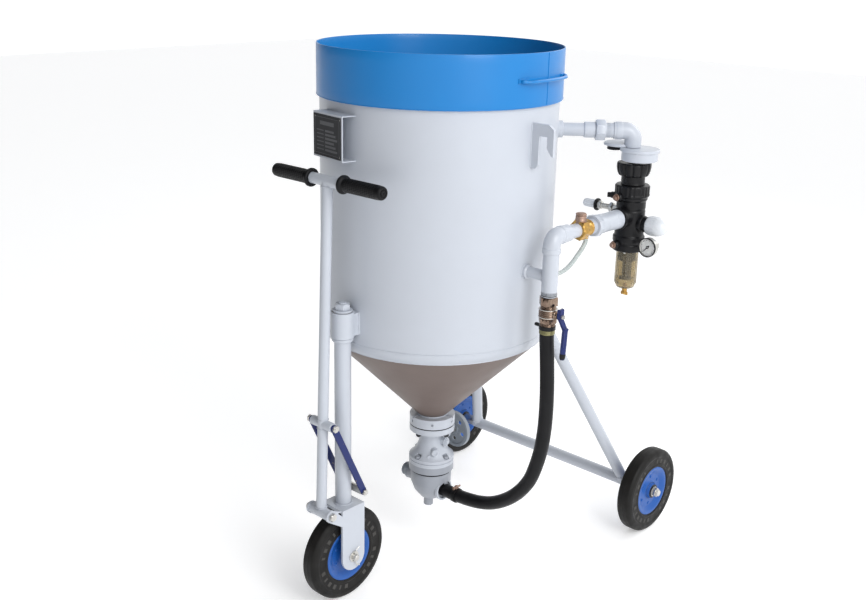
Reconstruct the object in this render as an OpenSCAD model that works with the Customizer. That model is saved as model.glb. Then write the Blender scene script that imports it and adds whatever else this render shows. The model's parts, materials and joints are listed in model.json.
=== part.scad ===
// Portable abrasive blasting pot on three wheels: pressure tank with hopper ring, pop-up filling valve,
// metering valve and mixing tee, air control line, steered front caster with tilting tow handle.
// Millimetres. Z is up, floor at Z = 0, the steered wheel is at the -Y end, the rear axle runs along X.
// Every module is written about the vertical tank axis and moved by frame_shift, which puts the
// origin at the centre of the overall footprint.

/* [Tank] */
// outside radius of the pressure tank
tank_r = 300; // [260:1:340]
// wall of tank and head
tank_wall = 6; // [4:0.5:10]
// height of the weld between cylinder and bottom knuckle
seam_z = 696; // [650:1:740]
// outside radius of the bottom knuckle
knuckle_r = 40; // [25:1:60]
// height of the weld between cylinder and top head
tank_top_z = 1291; // [1200:1:1340]
// radius of the opening in the dished head
port_r = 44; // [35:1:55]
// depth of the dished head below the top weld
head_dish = 74; // [40:1:90]

/* [Hopper ring] */
// outside radius of the hopper ring
ring_r = 307; // [302:1:320]
// sheet thickness of the hopper ring
ring_sheet = 3; // [1.5:0.5:5]
// height of the hopper ring
ring_h = 124; // [80:1:180]
// overlap of the hopper ring over the tank top
ring_lap = 8; // [4:1:20]

/* [Bottom stack] */
// radius of the flanges under the tank
flange_r = 62; // [50:1:80]
// top of the tank flange
flange_top_z = 418; // [400:1:440]
// pitch radius of the flange bolts
bolt_pitch_r = 53; // [40:0.5:60]
// height of the metering valve stem
stem_z = 338; // [320:1:350]
// height of the hose socket of the mixing tee
socket_z = 200; // [190:1:210]

/* [Air line] */
// X of the drop pipe, the check valve and the filter regulator
line_x = 373; // [350:1:400]
// Y of the filter regulator axis
reg_y = 330; // [300:1:360]
// outside radius of the one inch pipe
pipe_r = 16.85; // [12:0.05:22]
// bore radius of the one inch pipe
pipe_bore_r = 13.5; // [9:0.1:18]
// outside radius of the feed pipe into the tank
feed_r = 13.45; // [8:0.05:17]
// height of the feed pipe into the tank
feed_z = 886; // [860:1:910]
// height of the check valve run
run_z = 985; // [960:1:1010]
// height of the exhaust pipe
exhaust_z = 1203; // [1180:1:1220]

/* [Wheels] */
// radius of all three tyres
wheel_r = 125; // [110:1:140]
// width of the tyres
wheel_w = 48; // [40:1:60]
// rim radius seen inside the tyre wall
rim_r = 72; // [60:1:85]
// distance of the rear wheel centres from the middle plane
track_half = 369; // [340:1:400]
// Y of the rear axle
axle_y = 538; // [500:1:580]

/* [Caster and handle] */
// distance of the swivel axis in front of the tank axis
swivel_y = 330; // [330:1:345]
// outside radius of the caster column
column_r = 21.2; // [18:0.1:26]
// height of the fork crown top
crown_z = 268; // [260:1:290]
// distance of the handle hinge in front of the tank axis
hinge_y = 405; // [395:1:420]
// length of the tow handle from hinge to cross bar
handle_len = 845; // [780:1:900]
// lean of the handle toward the tank when parked
handle_lean = 2; // [0:0.5:4]
// distance along the handle from the hinge to the stay pivot
stay_pivot = 240; // [200:1:280]

/* [Hidden] */
$fn = 64;
cone_r = 38;
knuckle_c = tank_r - knuckle_r;
tangent_r = knuckle_c + knuckle_r * cos(45);
tangent_z = seam_z - knuckle_r * sin(45);
cone_end_z = tangent_z - (tangent_r - cone_r);
head_z = tank_top_z - head_dish;
ring_z = tank_top_z - ring_lap;
ring_top_z = ring_z + ring_h;
collar_r = 62;
sleeve_r = 19.5;
gasket_z = head_z - 26;
valve_shoulder_z = gasket_z - 35;
skirt_r = pipe_r + 0.08;
upper_flange_z = flange_top_z - 27;
valve_top_z = upper_flange_z - 3;
lower_flange_z = 295;
tee_top_z = 275;
outlet_z = socket_z + 14;
drop_top_z = 946;
drop_end_z = 838;
valve_bottom_z = 760;
reg_top_z = 1030;
reg_low_z = 935;
bowl_top_z = reg_low_z - 19;
plug_heights = [1037, 913];
cap_z = 970;
gauge_z = 922;
bleed_z = 997;
body_r = 37.5;
low_collar_r = 41;
exhaust_angle = atan2(reg_y, line_x);
exhaust_end = norm([line_x, reg_y]) - 8;
exhaust_x = exhaust_end * cos(exhaust_angle);
exhaust_y = exhaust_end * sin(exhaust_angle);
cap_rim_z = 1162;
fork_in = 33;
fork_t = 6;
hinge_z = crown_z;
stay_x = 41;
stay_pin_y = -swivel_y + column_r + 12;
stay_pin_z = 300;
stay_top = [0, -hinge_y + stay_pivot * sin(handle_lean), hinge_z + stay_pivot * cos(handle_lean)];
stay_len = norm([stay_pin_y - stay_top[1], stay_pin_z - stay_top[2]]);
stay_angle = atan2(stay_pin_y - stay_top[1], stay_top[2] - stay_pin_z);
axle_end = track_half + wheel_w / 2 + 20;
cap_end = line_x + 118;
hose_r = 18;
hose_route = [[34, 200], [56, 200], [78, 200], [104, 201], [140, 204], [180, 211], [218, 223], [252, 241],
    [285, 265], [316, 296], [344, 337], [362, 384], [375, 435], [382, 490], [384, 545], [383, 600], [380, 650],
    [376, 700], [373, 732], [373, 765]];
tube_route = [[138, 958], [136, 947], [122, 932], [104, 918], [86, 905], [66, 895], [44, 890], [19.6, 889]];
frame_shift = [-(cap_end - axle_end) / 2, -(axle_y + wheel_r - swivel_y - wheel_r) / 2, 0];

white = [0.86, 0.88, 0.91];
blue = [0.07, 0.38, 0.78];
navy = [0.08, 0.16, 0.42];
black = [0.05, 0.05, 0.06];
zinc = [0.7, 0.7, 0.68];
brass = [0.8, 0.6, 0.22];
rust = [0.52, 0.38, 0.3];

// ---------- shared shapes ----------

module tube(r, bore, h) {
    difference() {
        cylinder(r = r, h = h);
        translate([0, 0, -1]) cylinder(r = bore, h = h + 2);
    }
}

module hex(af, h) {
    cylinder(r = af / sqrt(3), h = h, $fn = 6);
}

// quarter bend from a vertical start at the origin to +X, rising (up = 1) or falling (up = -1)
module bend(r, bore, radius, up) {
    translate([radius, 0, 0]) rotate([90, 0, 0]) rotate_extrude(angle = 90, start = up > 0 ? 90 : 180)
        translate([radius, 0]) difference() {
            circle(r);
            circle(bore);
        }
}

module along_x() {
    rotate([0, 90, 0]) children();
}

module along_y() {
    rotate([-90, 0, 0]) children();
}

module around(count, radius, first = 0) {
    for (i = [0 : count - 1]) rotate([0, 0, first + i * 360 / count]) translate([radius, 0, 0]) children();
}

function catmull(a, b, c, d, t) =
    0.5 * (2 * b + (c - a) * t + (2 * a - 5 * b + 4 * c - d) * t * t + (3 * b - a - 3 * c + d) * t * t * t);

function smooth_route(p, steps) = [
    for (i = [0 : len(p) - 2], s = [0 : steps - 1])
        catmull(p[max(i - 1, 0)], p[i], p[i + 1], p[min(i + 2, len(p) - 1)], s / steps),
    p[len(p) - 1]
];

function heading(p, i) =
    let (d = p[min(i + 1, len(p) - 1)] - p[max(i - 1, 0)]) d / norm(d);

// hollow hose whose centre line follows a flat route in the XY plane
module flat_hose(route, r, bore, sides) {
    path = smooth_route(route, 2);
    n = len(path);
    radii = [r, bore];
    points = [
        for (k = [0, 1], i = [0 : n - 1], s = [0 : sides - 1])
            let (h = heading(path, i), a = s * 360 / sides)
                concat(path[i] + [-h[1], h[0]] * radii[k] * cos(a), [radii[k] * sin(a)])
    ];
    inner = n * sides;
    last = (n - 1) * sides;
    faces = [
        for (i = [0 : n - 2], s = [0 : sides - 1]) let (q = (s + 1) % sides)
            [i * sides + s, i * sides + q, (i + 1) * sides + q, (i + 1) * sides + s],
        for (i = [0 : n - 2], s = [0 : sides - 1]) let (q = (s + 1) % sides)
            [inner + i * sides + s, inner + (i + 1) * sides + s,
                inner + (i + 1) * sides + q, inner + i * sides + q],
        for (s = [0 : sides - 1]) let (q = (s + 1) % sides) [q, s, inner + s, inner + q],
        for (s = [0 : sides - 1]) let (q = (s + 1) % sides)
            [last + s, last + q, inner + last + q, inner + last + s]
    ];
    polyhedron(points, faces, convexity = 6);
}

// ---------- tank ----------

function knuckle_arc(r) = [
    for (a = [0 : 9 : 45]) [knuckle_c + r * cos(a), seam_z - r * sin(a)]
];

function reversed(list) = [for (i = [len(list) - 1 : -1 : 0]) list[i]];

module tank_profile() {
    wall_45 = tank_wall * sqrt(2);
    polygon(concat(
        [[cone_r, cone_end_z]], reversed(knuckle_arc(knuckle_r)), [[tank_r, tank_top_z]],
        [for (t = [0 : 0.125 : 1]) head_point(t, 0)], [for (t = [1 : -0.125 : 0]) head_point(t, tank_wall)],
        [[tank_r - tank_wall, tank_top_z - 24]], knuckle_arc(knuckle_r - tank_wall),
        [[cone_r - tank_wall, cone_end_z + wall_45 - tank_wall]]
    ));
}

// everything inside the tank's outer surface, cut away from parts welded to it
module tank_solid() {
    rotate_extrude($fn = 96) polygon(concat(
        [[0, cone_end_z], [cone_r, cone_end_z]], reversed(knuckle_arc(knuckle_r)),
        [[tank_r, tank_top_z], [0, tank_top_z]]
    ));
}

// head surface from the rim (t = 0) to the port collar (t = 1), lowered by drop
function head_point(t, drop) = [
    (tank_r - tank_wall) + (collar_r - tank_r + tank_wall) * t,
    tank_top_z - head_dish * (1 - pow(1 - t, 2)) - drop
];

module tank_shell() {
    color(white) {
        difference() {
            rotate_extrude($fn = 96) tank_profile();
            translate([tank_r - 30, 0, feed_z]) along_x() cylinder(r = feed_r, h = 60);
            rotate([0, 0, exhaust_angle]) translate([tank_r - 30, 0, exhaust_z]) along_x()
                cylinder(r = pipe_bore_r, h = 60);
        }
        translate([0, 0, gasket_z + 8]) tube(collar_r + 0.5, port_r, 26);
    }
}

module hopper_ring() {
    reach = ring_r + 15;
    spread = 17;
    rod = 4;
    z = ring_z + 62;
    color(blue) {
        rotate_extrude($fn = 96) polygon([
            [tank_r, ring_z], [ring_r, ring_z], [ring_r, ring_top_z], [ring_r - ring_sheet, ring_top_z],
            [ring_r - ring_sheet, tank_top_z + 4], [tank_r, tank_top_z]
        ]);
        rotate([0, 0, 8]) {
            translate([ring_r - 0.5, -4, ring_z]) cube([2, 8, ring_h]);
            translate([0, 0, z]) rotate_extrude(angle = 2 * spread, start = -spread)
                translate([reach, 0]) circle(rod, $fn = 24);
            for (side = [-1, 1]) rotate([0, 0, side * spread]) {
                translate([ring_r - 1, 0, z]) along_x()
                    cylinder(r = rod - 0.5, h = reach - ring_r + 1, $fn = 24);
                translate([ring_r - 0.5, -6, z - 16]) cube([3, 12, 32]);
                translate([reach, 0, z]) sphere(r = rod + 0.5, $fn = 24);
            }
        }
    }
}

module popup_valve() {
    color(zinc) rotate_extrude() polygon([
        [0, valve_shoulder_z + 42], [6, valve_shoulder_z + 42], [54, valve_shoulder_z],
        [54, valve_shoulder_z - 12], [24, valve_shoulder_z - 12], [22, valve_shoulder_z - 112],
        [skirt_r, valve_shoulder_z - 112], [skirt_r, valve_shoulder_z - 11], [0, valve_shoulder_z - 11]
    ]);
}

module standpipe() {
    base = feed_z + 50;
    color(zinc) translate([0, 0, base]) {
        tube(pipe_r, pipe_bore_r, valve_shoulder_z - 11.5 - base);
        bend(pipe_r, pipe_bore_r, 50, -1);
    }
}

module feed_pipe() {
    color(white) difference() {
        union() {
            translate([50, 0, feed_z]) along_x() cylinder(r = feed_r, h = line_x - 50);
            difference() {
                translate([tank_r - 8, 0, feed_z]) along_x() cylinder(r = 18, h = 18);
                tank_solid();
            }
        }
        translate([49, 0, feed_z]) along_x() cylinder(r = feed_r - 3, h = line_x);
        translate([line_x, 0, feed_z - 40]) cylinder(r = sleeve_r, h = 80);
    }
}

module nameplate_bracket() {
    color(white) difference() {
        rotate([0, 0, -99]) translate([tank_r - 8, -62, 1150]) difference() {
            cube([40, 124, 108]);
            translate([-1, -1, 3]) cube([38, 126, 102]);
        }
        tank_solid();
    }
}

module nameplate() {
    color([0.16, 0.17, 0.18]) rotate([0, 0, -99]) translate([tank_r + 32, -58, 1155]) {
        cube([1.5, 116, 98]);
        for (y = [6, 110], z = [6, 92]) translate([1.5, y, z]) along_x() cylinder(r = 2.5, h = 1.5, $fn = 24);
    }
}

module hanger_lug() {
    color(white) difference() {
        translate([tank_r, 4, 0]) rotate([90, 0, 0]) linear_extrude(8) polygon([
            [-2, 1247], [49, 1247], [64, 1236], [64, 1172], [57, 1176], [45, 1192], [45, 1218],
            [22, 1218], [22, 1150], [15, 1140], [-2, 1140]
        ]);
        tank_solid();
    }
}

// ---------- bottom stack ----------

module bolt_holes(bottom, h) {
    translate([0, 0, bottom]) around(4, bolt_pitch_r) cylinder(r = 5, h = h, $fn = 24);
}

module drilled_flange(h, bore) {
    difference() {
        cylinder(r = flange_r, h = h);
        translate([0, 0, -1]) cylinder(r = bore, h = h + 2);
        bolt_holes(-1, h + 2);
    }
}

// six set screws around the tank flange, the first one facing the air line side
module set_screws(r, depth) {
    translate([0, 0, upper_flange_z + 14]) around(6, flange_r - 7, 13) along_x()
        cylinder(r = r, h = depth, $fn = 24);
}

module tank_flange() {
    h = cone_end_z - upper_flange_z;
    color(white) difference() {
        translate([0, 0, upper_flange_z]) tube(flange_r, cone_r - tank_wall, h);
        bolt_holes(upper_flange_z - 1, 19);
        set_screws(3.5, 10);
        translate([0, 0, cone_end_z]) around(3, flange_r - 10, -104) cube([26, 6, 9], center = true);
    }
}

// seal of the filling port and gasket under the tank flange
module gaskets() {
    color(black) {
        translate([0, 0, gasket_z]) tube(58, port_r, 8);
        translate([0, 0, valve_top_z]) drilled_flange(upper_flange_z - valve_top_z, 30);
    }
}

module stack_bolts() {
    color(zinc) set_screws(3.5, 6);
    color(zinc) around(4, bolt_pitch_r) {
        translate([0, 0, valve_top_z - 28])
            cylinder(r = 4.5, h = upper_flange_z - valve_top_z + 44, $fn = 24);
        translate([0, 0, valve_top_z - 25]) hex(14, 9);
        translate([0, 0, tee_top_z - 20]) cylinder(r = 4.5, h = lower_flange_z - tee_top_z + 20, $fn = 24);
        translate([0, 0, lower_flange_z]) hex(14, 8);
    }
}

module grit_valve_body() {
    color(white) difference() {
        union() {
            translate([0, 0, valve_top_z - 16]) cylinder(r = flange_r, h = 16);
            rotate_extrude() polygon([
                [0, valve_top_z - 16], [31, valve_top_z - 16], [31, 352], [34, 340], [38, 328], [42, 318],
                [50, 306], [56, 299], [flange_r, lower_flange_z], [flange_r, tee_top_z], [0, tee_top_z]
            ]);
            translate([0, 28, stem_z]) along_y() cylinder(r = 14, h = 34);
            rotate([0, 0, -36]) translate([28, 0, 319]) along_x() cylinder(r = 10, h = 26);
            rotate([0, 0, 12]) translate([20, 0, 341]) along_x() hex(20, 30);
        }
        translate([0, 0, tee_top_z - 1]) cylinder(r = 24, h = valve_top_z - tee_top_z + 2);
        translate([0, 0, stem_z]) along_y() cylinder(r = 8.08, h = 80);
        bolt_holes(valve_top_z - 17, 18);
        bolt_holes(tee_top_z - 1, 22);
        around(4, bolt_pitch_r) translate([0, 0, lower_flange_z]) cylinder(r = 9.6, h = 13);
        translate([0, 0, tee_top_z + 10]) difference() {
            cylinder(r = flange_r + 1, h = 2);
            cylinder(r = flange_r - 2, h = 2);
        }
    }
}

module grit_stem() {
    color(zinc) translate([0, 0, stem_z]) {
        along_y() cylinder(r = 8, h = 104);
        difference() {
            sphere(r = 22);
            translate([0, 0, -30]) cylinder(r = 10, h = 60);
        }
        translate([0, 104, 0]) along_y() hex(17, 8);
    }
}

module handwheel() {
    color([0.6, 0.63, 0.67]) translate([0, 90, stem_z]) along_y() difference() {
        union() {
            cylinder(r = 15, h = 13);
            translate([0, 0, 4]) cylinder(r = 46, h = 4);
            difference() {
                cylinder(r = 52, h = 12);
                translate([0, 0, -1]) cylinder(r = 44, h = 14);
            }
        }
        translate([0, 0, -1]) cylinder(r = 8, h = 16);
        translate([0, 0, -1]) around(5, 29, 20) cylinder(r = 6, h = 14, $fn = 32);
    }
}

module mixing_tee() {
    color(white) difference() {
        union() {
            translate([0, 0, tee_top_z]) rotate_extrude() polygon([
                [0, 0], [flange_r, 0], [flange_r, -20], [54, -22], [57, -34], [56, -60], [46, -86],
                [28, -108], [0, -112]
            ]);
            translate([20, 0, socket_z]) along_x() cylinder(r = 27, h = 32);
            translate([44, 0, socket_z]) along_x() cylinder(r = 30, h = 8);
            translate([0, -8, tee_top_z - 133]) cylinder(r = 13, h = 40, $fn = 48);
            translate([-74, 0, outlet_z]) along_x() cylinder(r = 22, h = 40);
        }
        translate([0, 0, tee_top_z - 78]) cylinder(r = 20, h = 80);
        translate([0, 0, socket_z]) along_x() cylinder(r = 12.5, h = 80);
        translate([hose_route[0][0], 0, socket_z]) along_x() cylinder(r = hose_r + 0.8, h = 40);
        translate([46, 0, socket_z]) along_x() cylinder(r = 25, h = 10);
        translate([-80, 0, outlet_z]) along_x() cylinder(r = 16, h = 80);
        bolt_holes(tee_top_z - 20, 22);
    }
}

module blast_outlet() {
    color([0.62, 0.64, 0.66]) translate([-98, 0, outlet_z]) along_x() difference() {
        union() {
            cylinder(r = 19, h = 12);
            translate([0, 0, 12]) cylinder(r = 23, h = 12, $fn = 8);
            translate([0, 0, 24]) cylinder(r = 16, h = 22);
        }
        translate([0, 0, -1]) cylinder(r = 12.5, h = 60);
    }
}

// ---------- air line ----------

module air_hose() {
    color(black) rotate([90, 0, 0]) flat_hose(hose_route, hose_r, 12.8, 12);
}

module hose_clamps() {
    bore = hose_r + 0.6;
    color(rust) {
        translate([90, 0, socket_z + 0.5]) along_x() {
            tube(bore + 2, bore, 13);
            translate([-29, -5, 2]) cube([9.5, 10, 9]);
            translate([-25, -14, 6.5]) along_y() cylinder(r = 3, h = 28, $fn = 24);
        }
        translate([line_x, 0, valve_bottom_z - 5]) {
            tube(bore + 2, bore, 10);
            translate([-37, -4, 1]) cube([18, 8, 8]);
        }
    }
}

module hose_ferrule() {
    color(brass) translate([line_x, 0, valve_bottom_z - 16]) tube(hose_r + 1.6, hose_r + 0.4, 10.5);
}

module ball_valve_body() {
    color([0.62, 0.55, 0.42]) translate([line_x, 0, 0]) difference() {
        union() {
            translate([0, 0, 816]) hex(41, 22);
            translate([0, 0, 808]) cylinder(r = 19, h = 8);
            translate([0, 0, 784]) cylinder(r = 23, h = 24);
            translate([0, 0, 766]) hex(40, 18);
            translate([0, 0, valve_bottom_z - 30]) cylinder(r = 12, h = 40);
            translate([0, 0, 796]) along_x() cylinder(r = 10, h = 31.5);
        }
        translate([0, 0, valve_bottom_z - 31]) cylinder(r = 9, h = 120);
        translate([0, 0, 796]) sphere(r = 16.6);
        translate([0, 0, 796]) along_x() cylinder(r = 5.08, h = 40);
        translate([0, 0, 822]) cylinder(r = pipe_r, h = 20);
    }
}

module valve_ball() {
    color(zinc) translate([line_x, 0, 796]) {
        difference() {
            sphere(r = 16.2);
            translate([0, 0, -20]) cylinder(r = 9, h = 40);
        }
        translate([13, 0, 0]) along_x() cylinder(r = 5, h = 30);
        translate([42, 0, 0]) along_x() hex(10, 6);
    }
}

module valve_lever() {
    color(navy) translate([line_x, 0, 796]) difference() {
        translate([0, 7, 0]) rotate([90, 0, 0]) linear_extrude(14) polygon([
            [33, 18], [42, 18], [42, -8], [56, -32], [53, -104], [50, -110], [46, -106],
            [50.5, -31], [36.5, -8], [33, -7]
        ]);
        translate([30, 0, 0]) along_x() cylinder(r = 5, h = 20);
    }
}

module drop_pipe() {
    tail_z = drop_end_z - 16;
    color(white) difference() {
        union() {
            translate([line_x, 0, tail_z]) cylinder(r = pipe_r, h = 20);
            translate([line_x, 0, drop_end_z]) cylinder(r = sleeve_r, h = drop_top_z - drop_end_z);
        }
        translate([line_x, 0, tail_z - 1]) cylinder(r = 15, h = drop_top_z - tail_z + 2);
        translate([line_x - 30, 0, feed_z]) along_x() cylinder(r = feed_r - 3, h = 30);
    }
    color(white) {
        translate([line_x, 0, drop_top_z]) tube(22.5, 15, run_z - 27 - drop_top_z);
        translate([line_x, 0, run_z - 27]) rotate([0, 0, 90]) bend(20, 15, 27, 1);
        translate([line_x, 27, run_z]) along_y() tube(20.5, 15, 23);
        translate([line_x, 50, run_z]) along_y() tube(17.5, 15, 48);
    }
}

module check_valve() {
    color(brass) translate([line_x, 0, run_z]) difference() {
        union() {
            translate([0, 98, 0]) along_y() hex(46, 24);
            translate([0, 122, 0]) along_y() cylinder(r = 20.5, h = 24);
            translate([0, 112, 0]) cylinder(r = 13.5, h = 35);
            translate([0, 112, 35]) hex(24, 6);
            translate([0, tube_route[0][0], -27]) cylinder(r = 6.5, h = 20, $fn = 32);
        }
        translate([0, 97, 0]) along_y() cylinder(r = 15, h = 80);
    }
}

module run_union() {
    color(white) translate([line_x, 0, run_z]) difference() {
        along_y() {
            translate([0, 0, 146]) cylinder(r = 19, h = 16);
            translate([0, 0, 162]) cylinder(r = 28.5, h = 18, $fn = 8);
            translate([0, 0, 180]) cylinder(r = 24.5, h = 92);
        }
        translate([0, 145, 0]) along_y() cylinder(r = 15, h = 130);
    }
}

module control_tube() {
    color([0.8, 0.84, 0.84, 0.75]) translate([line_x, 0, 0]) rotate([90, 0, 90])
        flat_hose(tube_route, 5.5, 4, 10);
}

module at_regulator() {
    translate([line_x, reg_y, 0]) children();
}

module regulator_body() {
    color(black) at_regulator() difference() {
        union() {
            translate([0, 0, reg_top_z]) cylinder(r = 41, h = 6);
            translate([0, 0, reg_top_z + 6]) cylinder(r = 44.5, h = 32);
            translate([0, 0, reg_low_z]) cylinder(r = body_r, h = reg_top_z - reg_low_z);
            translate([0, 0, reg_low_z - 40]) cylinder(r = low_collar_r, h = 40);
            translate([0, 272 - reg_y, run_z]) along_y() cylinder(r = 28, h = 40);
            translate([0, 0, cap_z]) along_x() cylinder(r = 22, h = 44);
            for (z = plug_heights) rotate([0, 0, -105]) translate([20, 0, z]) along_x()
                cylinder(r = 12, h = 30);
        }
        translate([0, 0, reg_low_z - 41]) cylinder(r = 28.5, h = bowl_top_z - reg_low_z + 41);
        translate([0, 0, cap_z]) along_x() cylinder(r = 13, h = 60);
        translate([0, -60, run_z]) along_y() cylinder(r = 15, h = 60);
        translate([0, 0, bowl_top_z - 1]) cylinder(r = 16, h = 82);
        translate([0, 0, reg_top_z - 10]) cylinder(r = 12.1, h = 60);
    }
}

module regulator_knob() {
    color(black) at_regulator() {
        translate([0, 0, reg_top_z - 6]) cylinder(r = 12, h = 45);
        translate([0, 0, reg_top_z + 38.5]) cylinder(r = 31, h = 22);
        difference() {
            translate([0, 0, reg_top_z + 60.5]) rotate_extrude() polygon([
                [0, 0], [37, 0], [40, 5], [44, 22], [44, 30], [40, 34], [0, 34]
            ]);
            translate([0, 0, reg_top_z + 58]) around(12, 47, 15) cylinder(r = 6, h = 40, $fn = 24);
        }
    }
}

module regulator_bowl() {
    color([0.85, 0.8, 0.6, 0.5]) at_regulator() difference() {
        rotate_extrude() polygon([
            [0, 790], [12, 790], [24, 796], [29, 808], [29, reg_low_z - 41.5], [28.5, reg_low_z - 41],
            [28.5, bowl_top_z], [0, bowl_top_z]
        ]);
        rotate_extrude() polygon([
            [0, 794], [11, 794], [21, 799], [26, 810], [25.5, bowl_top_z + 1], [0, bowl_top_z + 1]
        ]);
        translate([0, 0, 780]) cylinder(r = 4, h = 30);
    }
}

module filter_element() {
    color([0.25, 0.22, 0.2]) at_regulator() {
        translate([0, 0, 866]) cylinder(r = 22, h = bowl_top_z - 866);
        translate([0, 0, 822]) cylinder(r = 13, h = 44);
        translate([0, 0, 816]) cylinder(r = 19, h = 6);
    }
}

module bowl_drain() {
    color(brass) at_regulator() {
        translate([0, 0, 776]) cylinder(r = 7, h = 13.6);
        translate([0, 0, 789.6]) cylinder(r = 3.9, h = 12);
        translate([-10, -2, 772]) cube([20, 4, 8]);
    }
}

module port_plugs() {
    color(rust) at_regulator() for (z = plug_heights) rotate([0, 0, -105]) translate([50, 0, z]) along_x() {
        cylinder(r = 9.5, h = 3);
        translate([0, 0, 3]) hex(12, 6);
    }
}

module bleed_valve() {
    color(zinc) at_regulator() difference() {
        translate([0, 0, bleed_z]) rotate([0, -90, 0]) {
            cylinder(r = 9, h = 52);
            translate([0, 0, 52]) hex(24, 10);
            translate([0, 0, 62]) cylinder(r = 8, h = 28);
            translate([0, 0, 89]) cylinder(r = 11, h = 10);
        }
        translate([0, 0, 980]) cylinder(r = body_r, h = 44);
        translate([0, 0, bleed_z]) rotate([0, -90, 0]) translate([0, 0, 66]) cylinder(r = 4.08, h = 40);
    }
}

module bleed_knob() {
    color(white) at_regulator() translate([0, 0, bleed_z]) rotate([0, -90, 0]) {
        translate([0, 0, 80]) cylinder(r = 4, h = 20);
        translate([0, 0, 99.6]) cylinder(r = 16.5, h = 7);
        translate([0, 0, 106.6]) cylinder(r = 11.5, h = 38, $fn = 12);
    }
}

module inlet_cap() {
    color(white) at_regulator() translate([0, 0, cap_z]) along_x() rotate_extrude() polygon([
        [0, 44], [20, 44], [20, 60], [24, 60], [25, 70], [24.5, 86], [22.5, 98], [17, 109], [9, 116], [0, 118]
    ]);
}

module gauge() {
    color([0.8, 0.82, 0.82]) at_regulator() difference() {
        translate([0, 0, gauge_z]) {
            along_x() cylinder(r = 6.5, h = 74);
            translate([72, -20, -8]) cube([16, 28, 16]);
            translate([80, -20, 0]) rotate([90, 0, 0]) {
                difference() {
                    cylinder(r = 25, h = 20);
                    translate([0, 0, 13]) cylinder(r = 22.5, h = 8);
                }
                cylinder(r = 2, h = 16, $fn = 24);
            }
        }
        translate([0, 0, gauge_z - 20]) cylinder(r = low_collar_r, h = 40);
    }
}

module gauge_needle() {
    color(black) at_regulator() translate([80, -34.5, gauge_z]) rotate([90, 0, 0]) rotate([0, 0, 135]) {
        difference() {
            cylinder(r = 4, h = 1.2, $fn = 32);
            translate([0, 0, -1]) cylinder(r = 2.08, h = 4, $fn = 24);
        }
        translate([3.5, -0.8, 0]) cube([14, 1.6, 1.2]);
    }
}

module gauge_glass() {
    color([0.9, 0.95, 0.95, 0.3]) at_regulator() translate([80, -37.5, gauge_z]) rotate([90, 0, 0])
        cylinder(r = 22.5, h = 2);
}

module on_exhaust(r) {
    rotate([0, 0, exhaust_angle]) translate([r, 0, exhaust_z]) along_x() children();
}

module exhaust_pipe() {
    color(white) difference() {
        union() {
            on_exhaust(tank_r - 8) cylinder(r = 22, h = 20);
            on_exhaust(tank_r - 8) cylinder(r = pipe_r, h = 86);
            on_exhaust(tank_r + 66) cylinder(r = 20, h = 28);
            on_exhaust(tank_r + 94) cylinder(r = 28, h = 24, $fn = 8);
            on_exhaust(tank_r + 118) cylinder(r = 19, h = 26);
            on_exhaust(tank_r + 144) cylinder(r = 22.5, h = exhaust_end - 27 - tank_r - 144);
            on_exhaust(exhaust_end - 28) cylinder(r = 20, h = 28);
            translate([exhaust_x, exhaust_y, exhaust_z]) sphere(r = 24);
            translate([exhaust_x, exhaust_y, cap_rim_z]) cylinder(r = 21.5, h = exhaust_z - cap_rim_z);
        }
        on_exhaust(tank_r - 10) cylinder(r = pipe_bore_r, h = exhaust_end - tank_r + 10);
        translate([exhaust_x, exhaust_y, cap_rim_z - 1])
            cylinder(r = pipe_bore_r - 0.5, h = exhaust_z - cap_rim_z + 1);
        tank_solid();
    }
}

module exhaust_valve() {
    color(white) translate([exhaust_x + 23, exhaust_y, 0]) difference() {
        union() {
            translate([0, 0, 1130]) cylinder(r = 46, h = 25);
            translate([0, 0, cap_rim_z - 8]) cylinder(r = 50, h = 8);
        }
        translate([0, 0, 1133]) cylinder(r = 41, h = 23);
        translate([-23, 0, 1154]) cylinder(r = pipe_bore_r, h = 20);
    }
}

module silencer() {
    color([0.1, 0.1, 0.1]) translate([line_x - 63, reg_y, cap_rim_z - 14]) cylinder(r = 20, h = 14);
}

module silencer_disc() {
    color(white) difference() {
        translate([line_x - 46, reg_y, cap_rim_z]) rotate_extrude() polygon([
            [0, 0], [42, 0], [43, 3], [40, 7], [12, 9], [0, 9]
        ]);
        translate([exhaust_x, exhaust_y, cap_rim_z - 1]) cylinder(r = 21.9, h = 12);
    }
}

// ---------- steered caster ----------

module at_swivel() {
    translate([0, -swivel_y, 0]) children();
}

module swivel_sleeve() {
    color(white) difference() {
        union() {
            at_swivel() translate([0, 0, 720]) cylinder(r = 29, h = 65);
            translate([-26, -swivel_y + 4, 724]) cube([52, 44, 57]);
        }
        at_swivel() translate([0, 0, 719]) cylinder(r = 24.5, h = 67);
        tank_solid();
    }
}

module swivel_bushes() {
    color(brass) at_swivel() for (z = [721, 760]) translate([0, 0, z]) tube(24.5, column_r + 0.07, 24);
}

module caster_column() {
    color(white) at_swivel() difference() {
        union() {
            translate([0, 0, crown_z]) cylinder(r = column_r, h = 788 - crown_z);
            translate([0, 0, 710]) cylinder(r = 27, h = 9.6);
            translate([0, 0, 785.6]) cylinder(r = 25, h = 5);
            translate([0, 0, 790.6]) hex(34, 15);
            translate([0, 0, 805.6]) cylinder(r = 10, h = 3);
        }
        translate([0, 0, crown_z - 1]) cylinder(r = 17, h = 488);
    }
}

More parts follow.
